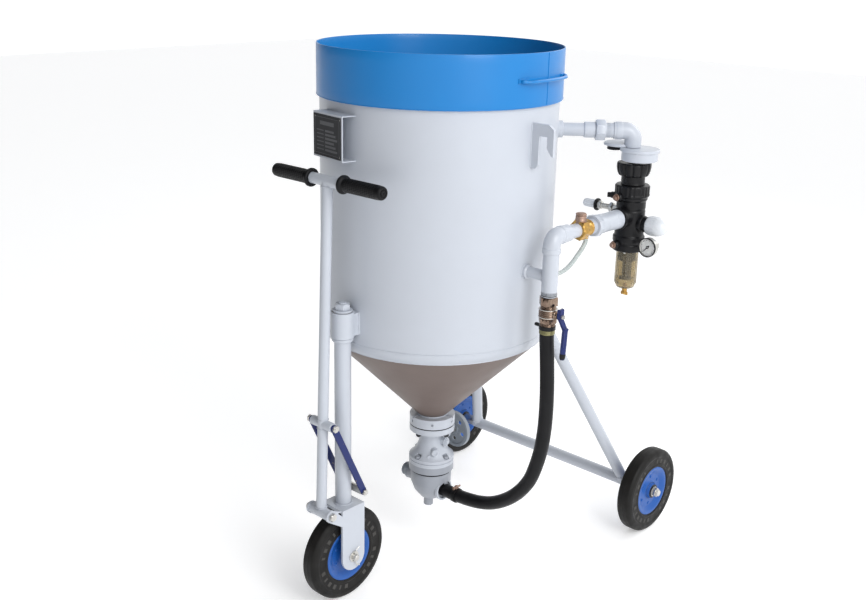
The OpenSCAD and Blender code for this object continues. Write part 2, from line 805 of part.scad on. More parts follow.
module fork_side() {
    difference() {
        union() {
            translate([-swivel_y - 38, 125]) square([76, crown_z - 125]);
            translate([-swivel_y, 125]) circle(38);
            polygon([[-swivel_y - 38, crown_z - 44], [-hinge_y - 6, hinge_z - 15], [-hinge_y, hinge_z + 15.9],
                [-swivel_y - 38, crown_z]]);
            translate([-hinge_y, hinge_z]) circle(16);
        }
        translate([-swivel_y, 125]) circle(8);
        translate([-hinge_y, hinge_z]) circle(6.5);
        polygon([[-swivel_y - 38, crown_z + 1], [-swivel_y - 38, crown_z - 14],
            [-hinge_y + 21, hinge_z + 1]]);
    }
}

module caster_fork() {
    color(white) {
        for (x = [-fork_in - fork_t, fork_in]) translate([x, 0, 0]) rotate([90, 0, 90]) linear_extrude(fork_t)
            fork_side();
        difference() {
            translate([-fork_in, -swivel_y - 38, crown_z - 8]) cube([2 * fork_in, 76, 8]);
            at_swivel() translate([0, 0, crown_z - 9]) cylinder(r = 9, h = 10);
        }
    }
}

module caster_pins() {
    color(zinc) {
        translate([0, -swivel_y, 125]) {
            translate([-46, 0, 0]) along_x() cylinder(r = 8, h = 100);
            translate([-47, 0, 0]) along_x() hex(24, 8);
            translate([39, 0, 0]) along_x() tube(15, 8, 3);
            for (x = [-33, 24.5]) translate([x, 0, 0]) along_x() tube(13, 8, 8.5);
            translate([47, 0, 0]) wire_pin();
        }
        translate([0, -hinge_y, hinge_z]) {
            translate([-42, 0, 0]) along_x() cylinder(r = 6.5, h = 84);
            for (x = [-48.6, 39]) translate([x, 0, 0]) along_x() hex(19, 9.6);
        }
    }
}

module wire_pin() {
    translate([0, 0, -18]) cylinder(r = 1.6, h = 38, $fn = 16);
    for (z = [-18, 20]) translate([0, 0, z]) sphere(r = 1.6, $fn = 16);
    translate([0, 0, 20]) rotate([-68, 0, 0]) cylinder(r = 1.6, h = 40, $fn = 16);
    translate([0, 0, -18]) rotate([60, 0, 0]) cylinder(r = 1.6, h = 16, $fn = 16);
}

module at_hinge() {
    translate([0, -hinge_y, hinge_z]) rotate([-handle_lean, 0, 0]) children();
}

module handle_frame() {
    color(white) at_hinge() difference() {
        union() {
            translate([-32.5, 0, 0]) along_x() cylinder(r = 14, h = 65);
            cylinder(r = 13.4, h = handle_len);
            translate([-180, 0, handle_len]) along_x() cylinder(r = 13.4, h = 360);
            translate([-37, 0, stay_pivot]) along_x() cylinder(r = 12, h = 74);
        }
        translate([0, 0, 20]) cylinder(r = 10.6, h = handle_len - 24);
        translate([-40, 0, 0]) along_x() cylinder(r = 6.58, h = 80);
        translate([-60, 0, stay_pivot]) along_x() cylinder(r = 5.08, h = 120);
        translate([-190, 0, handle_len]) along_x() cylinder(r = 10.6, h = 380);
    }
}

module handle_grips() {
    color(black) at_hinge() translate([0, 0, handle_len]) for (side = [0, 180]) rotate([0, 0, side])
        translate([51, 0, 0]) along_x() difference() {
            rotate_extrude() polygon([
                [0, 0], [20, 0], [22.5, 3], [22.5, 8], [19, 11], [17, 12], [16.5, 124], [16, 130],
                [13, 135], [0, 135]
            ]);
            translate([0, 0, -1]) cylinder(r = 13.4, h = 130);
            translate([0, 0, 130]) tube(9, 6.5, 6);
        }
}

module stay_links() {
    color(navy) translate(stay_top) rotate([stay_angle, 0, 0]) for (x = [-stay_x - 3, stay_x - 3])
        translate([x, 0, 0]) rotate([90, 0, 90]) linear_extrude(6) difference() {
            union() {
                translate([-9, -stay_len]) square([18, stay_len]);
                circle(9);
                translate([0, -stay_len]) circle(9);
            }
            circle(5);
            translate([0, -stay_len]) circle(5);
        }
}

module stay_pin() {
    color(zinc) {
        translate([-44, stay_pin_y, stay_pin_z]) along_x() cylinder(r = 5, h = 88);
        translate([-37.8, stay_pin_y, stay_pin_z]) along_x() tube(10, 5, 75.6);
        for (x = [-50, 44]) translate([x, stay_pin_y, stay_pin_z]) along_x() hex(15, 6);
        translate(stay_top) {
            translate([-50, 0, 0]) along_x() cylinder(r = 5, h = 100);
            for (x = [-52, 44.4]) translate([x, 0, 0]) along_x() hex(17, 7.6);
        }
    }
}

// ---------- rear running gear ----------

module rear_legs() {
    foot = [290, axle_y, wheel_r];
    top = [91, 267, 743];
    run = top - foot;
    for (side = [0, 1]) mirror([side, 0, 0]) color(white) difference() {
        translate(foot) rotate([0, acos(run[2] / norm(run)), atan2(run[1], run[0])])
            tube(16.2, 13, norm(run));
        tank_solid();
        translate([0, axle_y, wheel_r]) along_x() cylinder(r = pipe_r, h = 400);
    }
}

module rear_axle() {
    color(white) translate([-300, axle_y, wheel_r]) along_x() tube(pipe_r, 10, 600);
}

module axle_shaft() {
    color(zinc) translate([0, axle_y, wheel_r]) {
        translate([-axle_end, 0, 0]) along_x() cylinder(r = 10, h = 2 * axle_end);
        for (side = [0, 1]) mirror([side, 0, 0]) {
            translate([track_half + 25, 0, 0]) along_x() cylinder(r = 15, h = 3);
            translate([track_half + 28, 0, 0]) along_x() hex(24, 11);
            translate([300, 0, 0]) along_x() cylinder(r = 15, h = track_half - 325);
        }
    }
}

// ---------- wheels, each drawn about its own centre with the axle along X ----------

module tyre() {
    w = wheel_w / 2;
    color([0.07, 0.07, 0.07]) along_x() rotate_extrude($fn = 96) polygon([
        [rim_r, -w + 5], [rim_r + 4, -w + 1], [wheel_r - 16, -w], [wheel_r - 4, -w + 4], [wheel_r, -w + 10],
        [wheel_r, w - 10], [wheel_r - 4, w - 4], [wheel_r - 16, w], [rim_r + 4, w - 1], [rim_r, w - 5]
    ]);
}

module rim(bore) {
    w = wheel_w / 2;
    color(blue) along_x() rotate_extrude($fn = 96) polygon([
        [bore, -w], [21, -w], [23, -w + 9], [52, -w + 12], [60, -w + 6], [68, -w + 3], [rim_r, -w + 5],
        [rim_r, w - 5], [68, w - 3], [60, w - 6], [52, w - 12], [23, w - 9], [21, w], [bore, w]
    ]);
}

module front_tyre() {
    translate([0, -swivel_y, 125]) tyre();
}

module front_rim() {
    translate([0, -swivel_y, 125]) rim(8.08);
}

module left_tyre() {
    translate([-track_half, axle_y, 125]) tyre();
}

module left_rim() {
    translate([-track_half, axle_y, 125]) rim(10.08);
}

module right_tyre() {
    translate([track_half, axle_y, 125]) tyre();
}

module right_rim() {
    translate([track_half, axle_y, 125]) rim(10.08);
}

translate(frame_shift) {
    tank_shell();
    hopper_ring();
    gaskets();
    popup_valve();
    standpipe();
    feed_pipe();
    nameplate_bracket();
    nameplate();
    hanger_lug();
    tank_flange();
    stack_bolts();
    grit_valve_body();
    grit_stem();
    handwheel();
    mixing_tee();
    blast_outlet();
    air_hose();
    hose_clamps();
    hose_ferrule();
    ball_valve_body();
    valve_ball();
    valve_lever();
    drop_pipe();
    check_valve();
    run_union();
    control_tube();
    regulator_body();
    regulator_knob();
    regulator_bowl();
    filter_element();
    bowl_drain();
    port_plugs();
    bleed_valve();
    bleed_knob();
    inlet_cap();
    gauge();
    gauge_needle();
    gauge_glass();
    exhaust_pipe();
    exhaust_valve();
    silencer();
    silencer_disc();
    swivel_sleeve();
    swivel_bushes();
    caster_column();
    caster_fork();
    caster_pins();
    handle_frame();
    handle_grips();
    stay_links();
    stay_pin();
    rear_legs();
    rear_axle();
    axle_shaft();
    front_tyre();
    front_rim();
    left_tyre();
    left_rim();
    right_tyre();
    right_rim();
}
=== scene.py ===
import json
from math import atan2, cos, hypot, inf, pi, radians, sin, sqrt, tau

import bmesh
import bpy
from mathutils import Matrix, Vector, noise


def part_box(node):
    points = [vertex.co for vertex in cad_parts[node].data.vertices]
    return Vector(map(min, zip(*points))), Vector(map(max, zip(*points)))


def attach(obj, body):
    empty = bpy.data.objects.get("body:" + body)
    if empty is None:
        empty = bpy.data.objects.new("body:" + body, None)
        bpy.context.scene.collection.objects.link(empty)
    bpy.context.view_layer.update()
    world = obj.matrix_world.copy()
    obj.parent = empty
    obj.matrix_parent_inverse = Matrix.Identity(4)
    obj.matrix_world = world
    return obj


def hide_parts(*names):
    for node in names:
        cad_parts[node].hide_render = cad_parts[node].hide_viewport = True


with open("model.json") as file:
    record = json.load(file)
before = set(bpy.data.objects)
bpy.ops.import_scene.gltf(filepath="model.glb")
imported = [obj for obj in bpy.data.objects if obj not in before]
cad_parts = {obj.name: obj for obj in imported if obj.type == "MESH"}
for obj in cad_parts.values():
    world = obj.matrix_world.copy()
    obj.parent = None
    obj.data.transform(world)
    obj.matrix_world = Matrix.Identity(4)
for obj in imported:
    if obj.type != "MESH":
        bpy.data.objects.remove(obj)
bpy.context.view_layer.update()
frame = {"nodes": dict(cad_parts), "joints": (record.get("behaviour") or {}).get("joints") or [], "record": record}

# ---------- the frame in millimetres about the vertical tank axis ----------

MM = 0.001
GASKET_LOW, GASKET_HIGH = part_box("gaskets")
TANK_AXIS = Vector(((GASKET_LOW.x + GASKET_HIGH.x) / 2, (GASKET_LOW.y + GASKET_HIGH.y) / 2, 0))


def from_tank(point):
    return (Vector(point) - TANK_AXIS) / MM


def span(node):
    low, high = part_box(node)
    return from_tank(low), from_tank(high)


JOINT = {j["name"]: from_tank(j["pos_m"]) for j in frame["joints"] if "pos_m" in j}
NODE_BODY = {n: b for b, members in frame["record"]["behaviour"]["bodies"].items() for n in members}
REGULATOR = JOINT["pressure_knob_turn"]
LEVER = JOINT["air_valve_turn"]
HINGE = JOINT["handle_tilt"]
STAY_TOP = JOINT["stay_swing"]
WHEELS = {side: JOINT[side + "_wheel_spin"] for side in ("front", "left", "right")}
TANK_TOP = span("tank_shell")[1].z
RING_LOW, RING_HIGH = span("hopper_ring")[0].z, span("hopper_ring")[1].z
RING_R = -span("hopper_ring")[0].x
TANK_R = -span("tank_shell")[0].x
LINE_X = LEVER.x
HANDLE_LEAN = radians(2)
HANDLE_LEN = 845
KNUCKLE_R, SEAM_Z = 40, 696
CONE_R, CONE_Z = 38, span("tank_shell")[0].z
FLANGE_R = span("tank_flange")[1].x
FLANGE_LOW = span("tank_flange")[0].z
STACK_LOW = span("grit_valve_body")[0].z
FEED_Z, RUN_Z, EXHAUST_Z = 886, 985, 1203
PIPE_R, FEED_R, SLEEVE_R = 16.85, 13.45, 19.5
COLLAR_LOW, COLLAR_HIGH, BONNET_Z = 895, 935, 1030
CAP_Z = 970
PLUG_HEIGHTS = (1037, 913)
EXHAUST_ANGLE = atan2(REGULATOR.y, LINE_X)
EXHAUST_REACH = hypot(REGULATOR.y, LINE_X) - 8
CAP_RIM_Z = span("exhaust_valve")[1].z
COLUMN_R, SLEEVE_LOW, SLEEVE_HIGH = 21.2, 720, 785
LEG_R = 16.2
HOSE_R, TUBE_R = 18, 5.5
HOSE_ROUTE = [(34, 200), (56, 200), (78, 200), (104, 201), (140, 204), (180, 211), (218, 223), (252, 241),
              (285, 265), (316, 296), (344, 337), (362, 384), (375, 435), (382, 490), (384, 545), (383, 600),
              (380, 650), (376, 700), (373, 732), (373, 765)]
TUBE_ROUTE = [(138, 958), (136, 947), (122, 932), (104, 918), (86, 905), (66, 895), (44, 890), (19.6, 889)]

X, Y, Z = Vector((1, 0, 0)), Vector((0, 1, 0)), Vector((0, 0, 1))
FACING_FRONT = Matrix.Rotation(pi / 2, 4, "X")
shift = Matrix.Translation


# ---------- materials ----------

def add_node(tree, kind, inputs, output):
    """New shader node with its inputs set, or linked where a socket is given; returns one output."""
    node = tree.nodes.new("ShaderNode" + kind)
    for name, value in inputs.items():
        if isinstance(value, bpy.types.NodeSocket):
            tree.links.new(value, node.inputs[name])
        else:
            node.inputs[name].default_value = value
    return node.outputs[output]


class Shader:
    """A Principled material built up with procedural colour, roughness and bump."""

    def __init__(self, name, color, roughness, **values):
        self.material = bpy.data.materials.new(name)
        self.material.use_nodes = True
        self.tree = self.material.node_tree
        self.inputs = self.tree.nodes["Principled BSDF"].inputs
        self.color = None
        self.normal = None
        self.coordinates = add_node(self.tree, "TexCoord", {}, "Object")
        values.update(Base_Color=(*color, 1), Roughness=roughness, Coat_Roughness=0.12)
        for socket, value in values.items():
            self.inputs[socket.replace("_", " ")].default_value = value

    def noise(self, scale, detail):
        return add_node(self.tree, "TexNoise",
                        {"Vector": self.coordinates, "Scale": scale, "Detail": detail}, "Fac")

    def ramp(self, source, low, high, start, end):
        return add_node(self.tree, "MapRange", {"Value": source, "From Min": low, "From Max": high,
                                                "To Min": start, "To Max": end}, "Result")

    def tint(self, color, scale, detail, low, high, amount=1.0):
        mask = self.ramp(self.noise(scale, detail), low, high, 0, amount)
        mix = self.tree.nodes.new("ShaderNodeMix")
        mix.data_type = "RGBA"
        if self.color is None:
            mix.inputs["A"].default_value = self.inputs["Base Color"].default_value
        else:
            self.tree.links.new(self.color, mix.inputs["A"])
        mix.inputs["B"].default_value = (*color, 1)
        self.tree.links.new(mask, mix.inputs["Factor"])
        self.color = mix.outputs["Result"]
        self.tree.links.new(self.color, self.inputs["Base Color"])

    def roughness(self, scale, detail, low, high):
        mask = self.ramp(self.noise(scale, detail), 0.3, 0.7, low, high)
        self.tree.links.new(mask, self.inputs["Roughness"])

    def bump(self, scale, detail, distance, strength):
        inputs = {"Height": self.noise(scale, detail), "Distance": distance, "Strength": strength}
        if self.normal is not None:
            inputs["Normal"] = self.normal
        self.normal = add_node(self.tree, "Bump", inputs, "Normal")
        self.tree.links.new(self.normal, self.inputs["Normal"])


def enamel(name, color, dirt, roughness, coat=0.0, chips=0.0, gloss=0.5):
    """Sprayed enamel: faint orange peel, slow waviness of the sheet, a little dirt and, if asked, chips."""
    s = Shader(name, color, roughness, Coat_Weight=coat, Specular_IOR_Level=gloss)
    s.tint(dirt, 4, 3, 0.3, 0.9, 0.12)
    s.tint(dirt, 28, 4, 0.3, 0.9, 0.07)
    if chips:
        s.tint((0.16, 0.12, 0.10), 95, 3, 0.74 - chips, 0.76 - chips)
    s.roughness(12, 2, roughness + 0.02, roughness + 0.1)
    s.bump(9, 1, 0.0009, 0.5)
    s.bump(420, 2, 0.00012, 0.6)
    return s.material


def metal(name, color, dark, roughness, scale=120, stain=0.35):
    """Plated or bare metal with fine grain and dull stains."""
    s = Shader(name, color, roughness, Metallic=1.0)
    s.tint(dark, 35, 6, 0.45, 0.8, stain)
    s.roughness(scale, 4, roughness - 0.1, roughness + 0.14)
    s.bump(scale * 3, 3, 0.00015, 0.7)
    return s.material


def rubber(name, color, dust, roughness, scale=300):
    s = Shader(name, color, roughness, Specular_IOR_Level=0.2)
    s.tint(dust, 22, 6, 0.45, 0.8, 0.3)
    s.roughness(40, 5, roughness - 0.1, roughness + 0.12)
    s.bump(scale, 4, 0.0002, 0.8)
    s.bump(scale * 4, 2, 0.00006, 0.6)
    return s.material


def moulded(name, color, tint, roughness, gloss=0.5):
    s = Shader(name, color, roughness, Specular_IOR_Level=gloss)
    s.tint(tint, 30, 5, 0.45, 0.8, 0.3)
    s.roughness(55, 4, roughness - 0.07, roughness + 0.09)
    s.bump(900, 3, 0.00008, 0.7)
    return s.material


def clear(name, color, transmission, roughness, ior=1.5):
    s = Shader(name, color, roughness, Transmission_Weight=transmission, IOR=ior)
    s.tint(tuple(c * 0.75 for c in color), 25, 4, 0.4, 0.8, 0.35)
    s.roughness(70, 4, roughness - 0.05, roughness + 0.1)
    s.bump(130, 3, 0.00012, 0.5)
    return s.material


WHITE = enamel("white_enamel", (0.465, 0.495, 0.55), (0.35, 0.36, 0.39), 0.3, 0.15)
# Brown grey on the white cone: a painted reflection of a reddish brown floor, not the enamel's own colour.
CONE_PAINTED_REFLECTION = enamel("cone_painted_reflection", (0.165, 0.128, 0.114), (0.06, 0.048, 0.045), 0.34, gloss=0.12)
# The white enamel darkened: painted shade for the tee and stack studs under the tank.
WHITE_PAINTED_SHADE = enamel("white_enamel_painted_shade", (0.29, 0.31, 0.35), (0.2, 0.21, 0.23), 0.35, 0.1)
BLUE = enamel("blue_enamel", (0.006, 0.18, 0.49), (0.006, 0.11, 0.36), 0.3, 0.15, gloss=0.35)
RIM_BLUE = enamel("rim_enamel", (0.010, 0.085, 0.34), (0.008, 0.04, 0.20), 0.32, 0.15, gloss=0.3)
NAVY = enamel("navy_enamel", (0.010, 0.020, 0.12), (0.03, 0.03, 0.05), 0.3, 0.1, 0.04, gloss=0.25)
# Dark grey of the name plate, also used on the nuts under the valve flange as painted shade.
PLATE_GREY_AND_SHADE = enamel("plate_grey_and_painted_shade", (0.022, 0.023, 0.026), (0.05, 0.05, 0.055), 0.5, gloss=0.25)
PRINT_GREY = enamel("print_grey", (0.085, 0.088, 0.095), (0.03, 0.03, 0.03), 0.55)
CAST_GREY = enamel("cast_grey", (0.24, 0.27, 0.31), (0.12, 0.12, 0.13), 0.42, 0.1)
BLACK_CASTING = enamel("black_casting", (0.004, 0.004, 0.005), (0.014, 0.013, 0.013), 0.3, 0.08, gloss=0.22)
ZINC = metal("zinc", (0.62, 0.61, 0.58), (0.33, 0.31, 0.28), 0.36)
BRASS = metal("brass", (0.62, 0.38, 0.11), (0.20, 0.10, 0.035), 0.33, stain=0.8)
# Worn nickel with stains; its dark brown base colour is a painted reflection of dark surroundings.
NICKEL_PAINTED_REFLECTION = metal("worn_nickel_painted_reflection", (0.30, 0.22, 0.17), (0.07, 0.035, 0.025), 0.22, 60, 0.9)
OLIVE = metal("dull_brass", (0.25, 0.235, 0.12), (0.10, 0.09, 0.04), 0.38)
RUST = metal("rusty_steel", (0.42, 0.29, 0.23), (0.13, 0.06, 0.04), 0.5, stain=0.8)
TYRE = rubber("tyre_rubber", (0.008, 0.0075, 0.007), (0.024, 0.022, 0.020), 0.5)
TYRE_MARK = rubber("tyre_marks", (0.055, 0.053, 0.050), (0.018, 0.017, 0.016), 0.6)
RUBBER = rubber("black_rubber", (0.005, 0.005, 0.006), (0.016, 0.015, 0.016), 0.4, 500)
BLACK_PLASTIC = moulded("black_plastic", (0.006, 0.006, 0.007), (0.018, 0.017, 0.017), 0.34, 0.25)
WHITE_PLASTIC = moulded("white_plastic", (0.62, 0.645, 0.68), (0.50, 0.51, 0.52), 0.28)
DIAL = moulded("dial_paper", (0.86, 0.86, 0.84), (0.74, 0.74, 0.71), 0.5)
AMBER = clear("amber_plastic", (0.60, 0.51, 0.33), 0.9, 0.07)
CLEAR = clear("clear_lens", (1.0, 1.0, 1.0), 1.0, 0.03, 1.12)
NYLON = clear("nylon_tube", (0.50, 0.55, 0.54), 0.3, 0.25)


# ---------- shapes ----------

def polar(angle, reach, z=0.0):
    return Vector((reach * cos(angle), reach * sin(angle), z))


def level_circle(radius, z, count=360):
    return [polar(tau * k / count, radius, z) for k in range(count)]


def line(start, end, count):
    """Evenly spaced points from start to end."""
    return [Vector(start).lerp(Vector(end), k / count) for k in range(count + 1)]


def frame_to(origin, axis, turn=0.0):
    """Matrix that takes local Z to axis and the local origin to origin, turned about that axis."""
    rotation = Vector(axis).to_track_quat("Z", "Y").to_matrix().to_4x4()
    return shift(origin) @ rotation @ Matrix.Rotation(turn, 4, "Z")


def circle(origin, axis, radius, count=72):
    place = frame_to(origin, axis)
    return [place @ polar(tau * k / count, radius) for k in range(count)]


def arc(centre, radius, start, end, steps):
    """Points (r, z) on an arc, angles in degrees."""
    return [(centre[0] + radius * cos(radians(start + (end - start) * i / steps)),
             centre[1] + radius * sin(radians(start + (end - start) * i / steps))) for i in range(steps + 1)]


def eased(points, size, closed=False, steps=3):
    """A copy of a flat outline with its corners rounded to at most size."""
    out = []
    count = len(points)
    for i, point in enumerate(points):
        p = Vector(point)
        if not closed and i in (0, count - 1):
            out.append(tuple(p))
            continue
        a, b = Vector(points[i - 1]) - p, Vector(points[(i + 1) % count]) - p
        if a.length < 1e-6 or b.length < 1e-6 or a.angle(b) > radians(172):
            out.append(tuple(p))
            continue
        cut = min(size, a.length * 0.45, b.length * 0.45)
        start, end = p + a.normalized() * cut, p + b.normalized() * cut
        for k in range(steps + 1):
            t = k / steps
            out.append(tuple((1 - t) ** 2 * start + 2 * t * (1 - t) * p + t ** 2 * end))
    return out


def smooth_path(points, steps=8):
    """Catmull-Rom curve through the points."""
    p = [Vector(q) for q in points]
    p = [2 * p[0] - p[1]] + p + [2 * p[-1] - p[-2]]
    out = []
    for a, b, c, d in zip(p, p[1:], p[2:], p[3:]):
        for k in range(steps):
            t = k / steps
            out.append(0.5 * (2 * b + (c - a) * t + (2 * a - 5 * b + 4 * c - d) * t * t
                              + (3 * b - a - 3 * c + d) * t ** 3))
    return out + [p[-2]]


def thread(radius, start, end, pitch=2.2, depth=1.1):
    """Profile points of a thread or of fine grooves between two heights."""
    turns = max(2, round(abs(end - start) / pitch))
    step = (end - start) / turns
    points = []
    for i in range(turns):
        z = start + step * i
        points += [(radius, z + step * 0.1), (radius, z + step * 0.45), (radius - depth, z + step * 0.6),
                   (radius - depth, z + step * 0.95)]
    return points


def ribbed(count, depth, reach, low=-inf, high=inf):
    """Wave for a lathe: upright ribs where the radius is past reach and the height between low and high."""
    return lambda a, r, z: depth * cos(count * a) if low < z < high and r > reach else 0


def shown(name, data):
    """A new object, linked into the scene."""
    made = bpy.data.objects.new(name, data)
    bpy.context.scene.collection.objects.link(made)
    return made


def stand_in(name, mesh, node, sharp):
    """Shows a smooth mesh that rides on the body of its CAD node and replaces it."""
    mesh.shade_smooth()
    mesh.set_sharp_from_angle(angle=radians(sharp))
    made = shown(name, mesh)
    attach(made, NODE_BODY.get(node, "frame"))
    if node:
        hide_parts(node)
    return made


class Piece:
    """One visible piece, gathered from shapes given in millimetres about the tank axis."""

    def __init__(self, name, material):
        self.name = name
        self.materials = [material]
        self.current = 0
        self.verts, self.faces, self.slots = [], [], []

    def use(self, material):
        if material not in self.materials:
            self.materials.append(material)
        self.current = self.materials.index(material)
        return self

    def add(self, verts, faces, place=None):
        start = len(self.verts)
        self.verts += [place @ Vector(v) if place is not None else Vector(v) for v in verts]
        self.faces += [tuple(start + i for i in f) for f in faces]
        self.slots += [self.current] * len(faces)
        return self

    def rings(self, rings, place=None, loop=False):
        """Skin over rings of equal length; loop joins last to first, else both ends are capped."""
        n, count = len(rings[0]), len(rings)
        faces = []
        for i in range(count if loop else count - 1):
            a, b = i * n, (i + 1) % count * n
            faces += [(a + k, a + (k + 1) % n, b + (k + 1) % n, b + k) for k in range(n)]
        if not loop:
            faces += [tuple(range(n))[::-1], tuple(range((count - 1) * n, count * n))]
        return self.add([v for ring in rings for v in ring], faces, place)

    def lathe(self, profile, place=None, segments=64, closed=False, wave=None):
        """Turned shape from (radius, height) points. A point at radius 0 closes the end."""
        verts, rows, faces = [], [], []
        for r, z in profile:
            if r < 1e-6:
                rows.append([len(verts)] * segments)
                verts.append((0, 0, z))
                continue
            rows.append(range(len(verts), len(verts) + segments))
            for k in range(segments):
                a = tau * k / segments
                verts.append(polar(a, r + (wave(a, r, z) if wave else 0), z))
        if closed:
            rows.append(rows[0])
        for lower, upper in zip(rows, rows[1:]):
            for k in range(segments):
                q = (k + 1) % segments
                face = [lower[k], lower[q], upper[q], upper[k]]
                face = [v for i, v in enumerate(face) if v != face[i - 1]]
                if len(face) > 2:
                    faces.append(tuple(face))
        return self.add(verts, faces, place)

    def turned(self, profile, origin, axis, ease=1.0, segments=64, closed=False, wave=None):
        """Lathe with eased corners, standing on origin along axis."""
        return self.lathe(eased(profile, ease, closed), frame_to(origin, axis), segments, closed, wave)

    def rod(self, profile, origin, axis, ease=1.0, segments=64, wave=None):
        """Turned solid: the profile is closed on the axis at both ends."""
        ended = [(0, profile[0][1])] + profile + [(0, profile[-1][1])]
        return self.turned(ended, origin, axis, ease, segments, wave=wave)

    def ring(self, outer, inner, height, origin, axis, ease=1.0, segments=64):
        """A tube or washer with rounded edges."""
        outline = [(inner, 0), (outer, 0), (outer, height), (inner, height)]
        return self.turned(outline, origin, axis, ease, segments, closed=True)

    def disc(self, radius, height, origin, axis, ease, segments):
        """A solid round piece with rounded edges."""
        return self.rod([(radius, 0), (radius, height)], origin, axis, ease, segments)

    def sides(self, count, flats, height, origin, axis, turn=0.0, bore=0.0, chamfer=1.5):
        """A many-sided nut, turned down at both ends the way real ones are."""
        half, steps = flats / 2, count * 8
        crown, corner = half - chamfer * 0.4, half / cos(pi / count)
        angles = [tau * k / steps for k in range(steps)]
        rings = [[polar(a, min(half / cos(a % (tau / count) - pi / count), r), z) for a in angles]
                 for r, z in ((crown, 0), (corner, chamfer), (corner, height - chamfer), (crown, height))]
        if bore:
            low, high = ([polar(a, bore, z) for a in angles] for z in (0, height))
            rings = [low, *rings, high]
        return self.rings(rings, frame_to(origin, axis, turn), loop=bool(bore))

    def nut(self, flats, height, origin, axis, turn=0.0, chamfer=1.5):
        return self.sides(6, flats, height, origin, axis, turn, chamfer=chamfer)

    def tube(self, path, radius, sides=24, loop=False, flat=1.0):
        """Round bar swept along a path; the radius may be a function of the share of the path."""
        path = [Vector(p) for p in path]
        last = len(path) - 1
        normal = None
        rings = []
        for i, p in enumerate(path):
            before = path[i - 1] if i or loop else p
            after = path[(i + 1) % len(path)] if i < last or loop else p
            heading = (after - before).normalized()
            if normal is None:
                normal = heading.orthogonal().normalized()
            normal = (normal - heading * normal.dot(heading)).normalized()
            side = heading.cross(normal)
            r = radius(i / last) if callable(radius) else radius
            rings.append([p + normal * (r * cos(tau * k / sides)) + side * (r * flat * sin(tau * k / sides))
                          for k in range(sides)])
        return self.rings(rings, None, loop)

    def bend(self, start, corner, end, radius, bend_r):
        """A pipe that turns one round corner."""
        a, b = (start - corner).normalized(), (end - corner).normalized()
        half = a.angle(b) / 2
        reach = bend_r / sin(half)
        middle = corner + (a + b).normalized() * reach
        first, last = corner + a * (reach * cos(half)) - middle, corner + b * (reach * cos(half)) - middle
        sweep = first.angle(last)
        turns = [(sin((1 - k / 14) * sweep), sin(k / 14 * sweep)) for k in range(15)]
        round_part = [middle + (first * s + last * t) / sin(sweep) for s, t in turns]
        return self.tube([start, *round_part, end], radius, 40)

    def slab(self, outline, thickness, place, ease=0.8):
        """Flat plate: an outline in local XY, given thickness along Z, with eased rims."""
        inset = []
        for i, p in enumerate(outline):
            tangent = (Vector(outline[(i + 1) % len(outline)]) - Vector(outline[i - 1])).normalized()
            inset.append(Vector(p) + Vector((-tangent.y, tangent.x)) * ease)
        levels = ((inset, 0), (outline, ease), (outline, thickness - ease), (inset, thickness))
        return self.rings([[(*q, z) for q in edge] for edge, z in levels], place)

    def block(self, low, high, ease=1.0, place=Matrix()):
        """Rectangular bar with rounded edges."""
        outline = eased([(low[0], low[1]), (high[0], low[1]), (high[0], high[1]), (low[0], high[1])],
                        ease * 1.6, closed=True)
        return self.slab(outline, high[2] - low[2], place @ shift((0, 0, low[2])), ease)

    def bead(self, path, radius, loop=False, seed=0):
        """Weld bead: a lumpy low bar along a path."""
        lumps = [radius * (0.86 + 0.3 * noise.noise(Vector((i * 0.9, seed, 0.3)))) for i in range(len(path))]
        return self.tube(path, lambda t: lumps[round(t * (len(path) - 1))], 8, loop)

    def weld(self, origin, axis, radius, size, seed, count=72):
        """Weld bead all the way round a bar."""
        return self.bead(circle(origin, axis, radius, count), size, True, seed)

    def done(self, node=None, slot=None):
        """Makes the object, which stands for its CAD node if it has one."""
        mesh = bpy.data.meshes.new(self.name)
        mesh.from_pydata([TANK_AXIS + v * MM for v in self.verts], [], self.faces)
        for material in self.materials:
            mesh.materials.append(material)
        mesh.polygons.foreach_set("material_index", self.slots)
        work = bmesh.new()
        work.from_mesh(mesh)
        bmesh.ops.recalc_face_normals(work, faces=work.faces)
        work.to_mesh(mesh)
        work.free()
        made = stand_in(self.name, mesh, node, 38)
        return made


def refined(node, material, width=0.9, segments=3):
    """Stands for a CAD node with the same shape, its edges rounded as on a real casting or plate."""
    edge_angle = 32
    mesh = frame["nodes"][node].data.copy()
    mesh.materials.clear()
    mesh.materials.append(material)
    work = bmesh.new()
    work.from_mesh(mesh)
    bmesh.ops.remove_doubles(work, verts=work.verts, dist=0.00002)
    bmesh.ops.dissolve_limit(work, angle_limit=radians(1), verts=work.verts, edges=work.edges)
    work.to_mesh(mesh)
    work.free()
    mesh.polygons.foreach_set("material_index", [0] * len(mesh.polygons))
    made = stand_in(node + "_detail", mesh, node, edge_angle)
    bevel = made.modifiers.new("edges", "BEVEL")
    bevel.width = width * MM
    bevel.segments = segments
    bevel.limit_method = "ANGLE"
    bevel.angle_limit = radians(edge_angle)
    bevel.harden_normals = True
    bevel.miter_outer = "MITER_ARC"


REFINED = {
    WHITE: ["nameplate_bracket", "hanger_lug", "tank_flange", "silencer_disc", "swivel_sleeve",
            "caster_fork"],
    ZINC: ["popup_valve", "standpipe", "grit_stem", "valve_ball"],
    PLATE_GREY_AND_SHADE: ["nameplate"],
    BRASS: ["swivel_bushes"],
    RUBBER: ["gaskets"],
}
CAST = {WHITE: "grit_valve_body", WHITE_PAINTED_SHADE: "mixing_tee", CAST_GREY: "handwheel"}


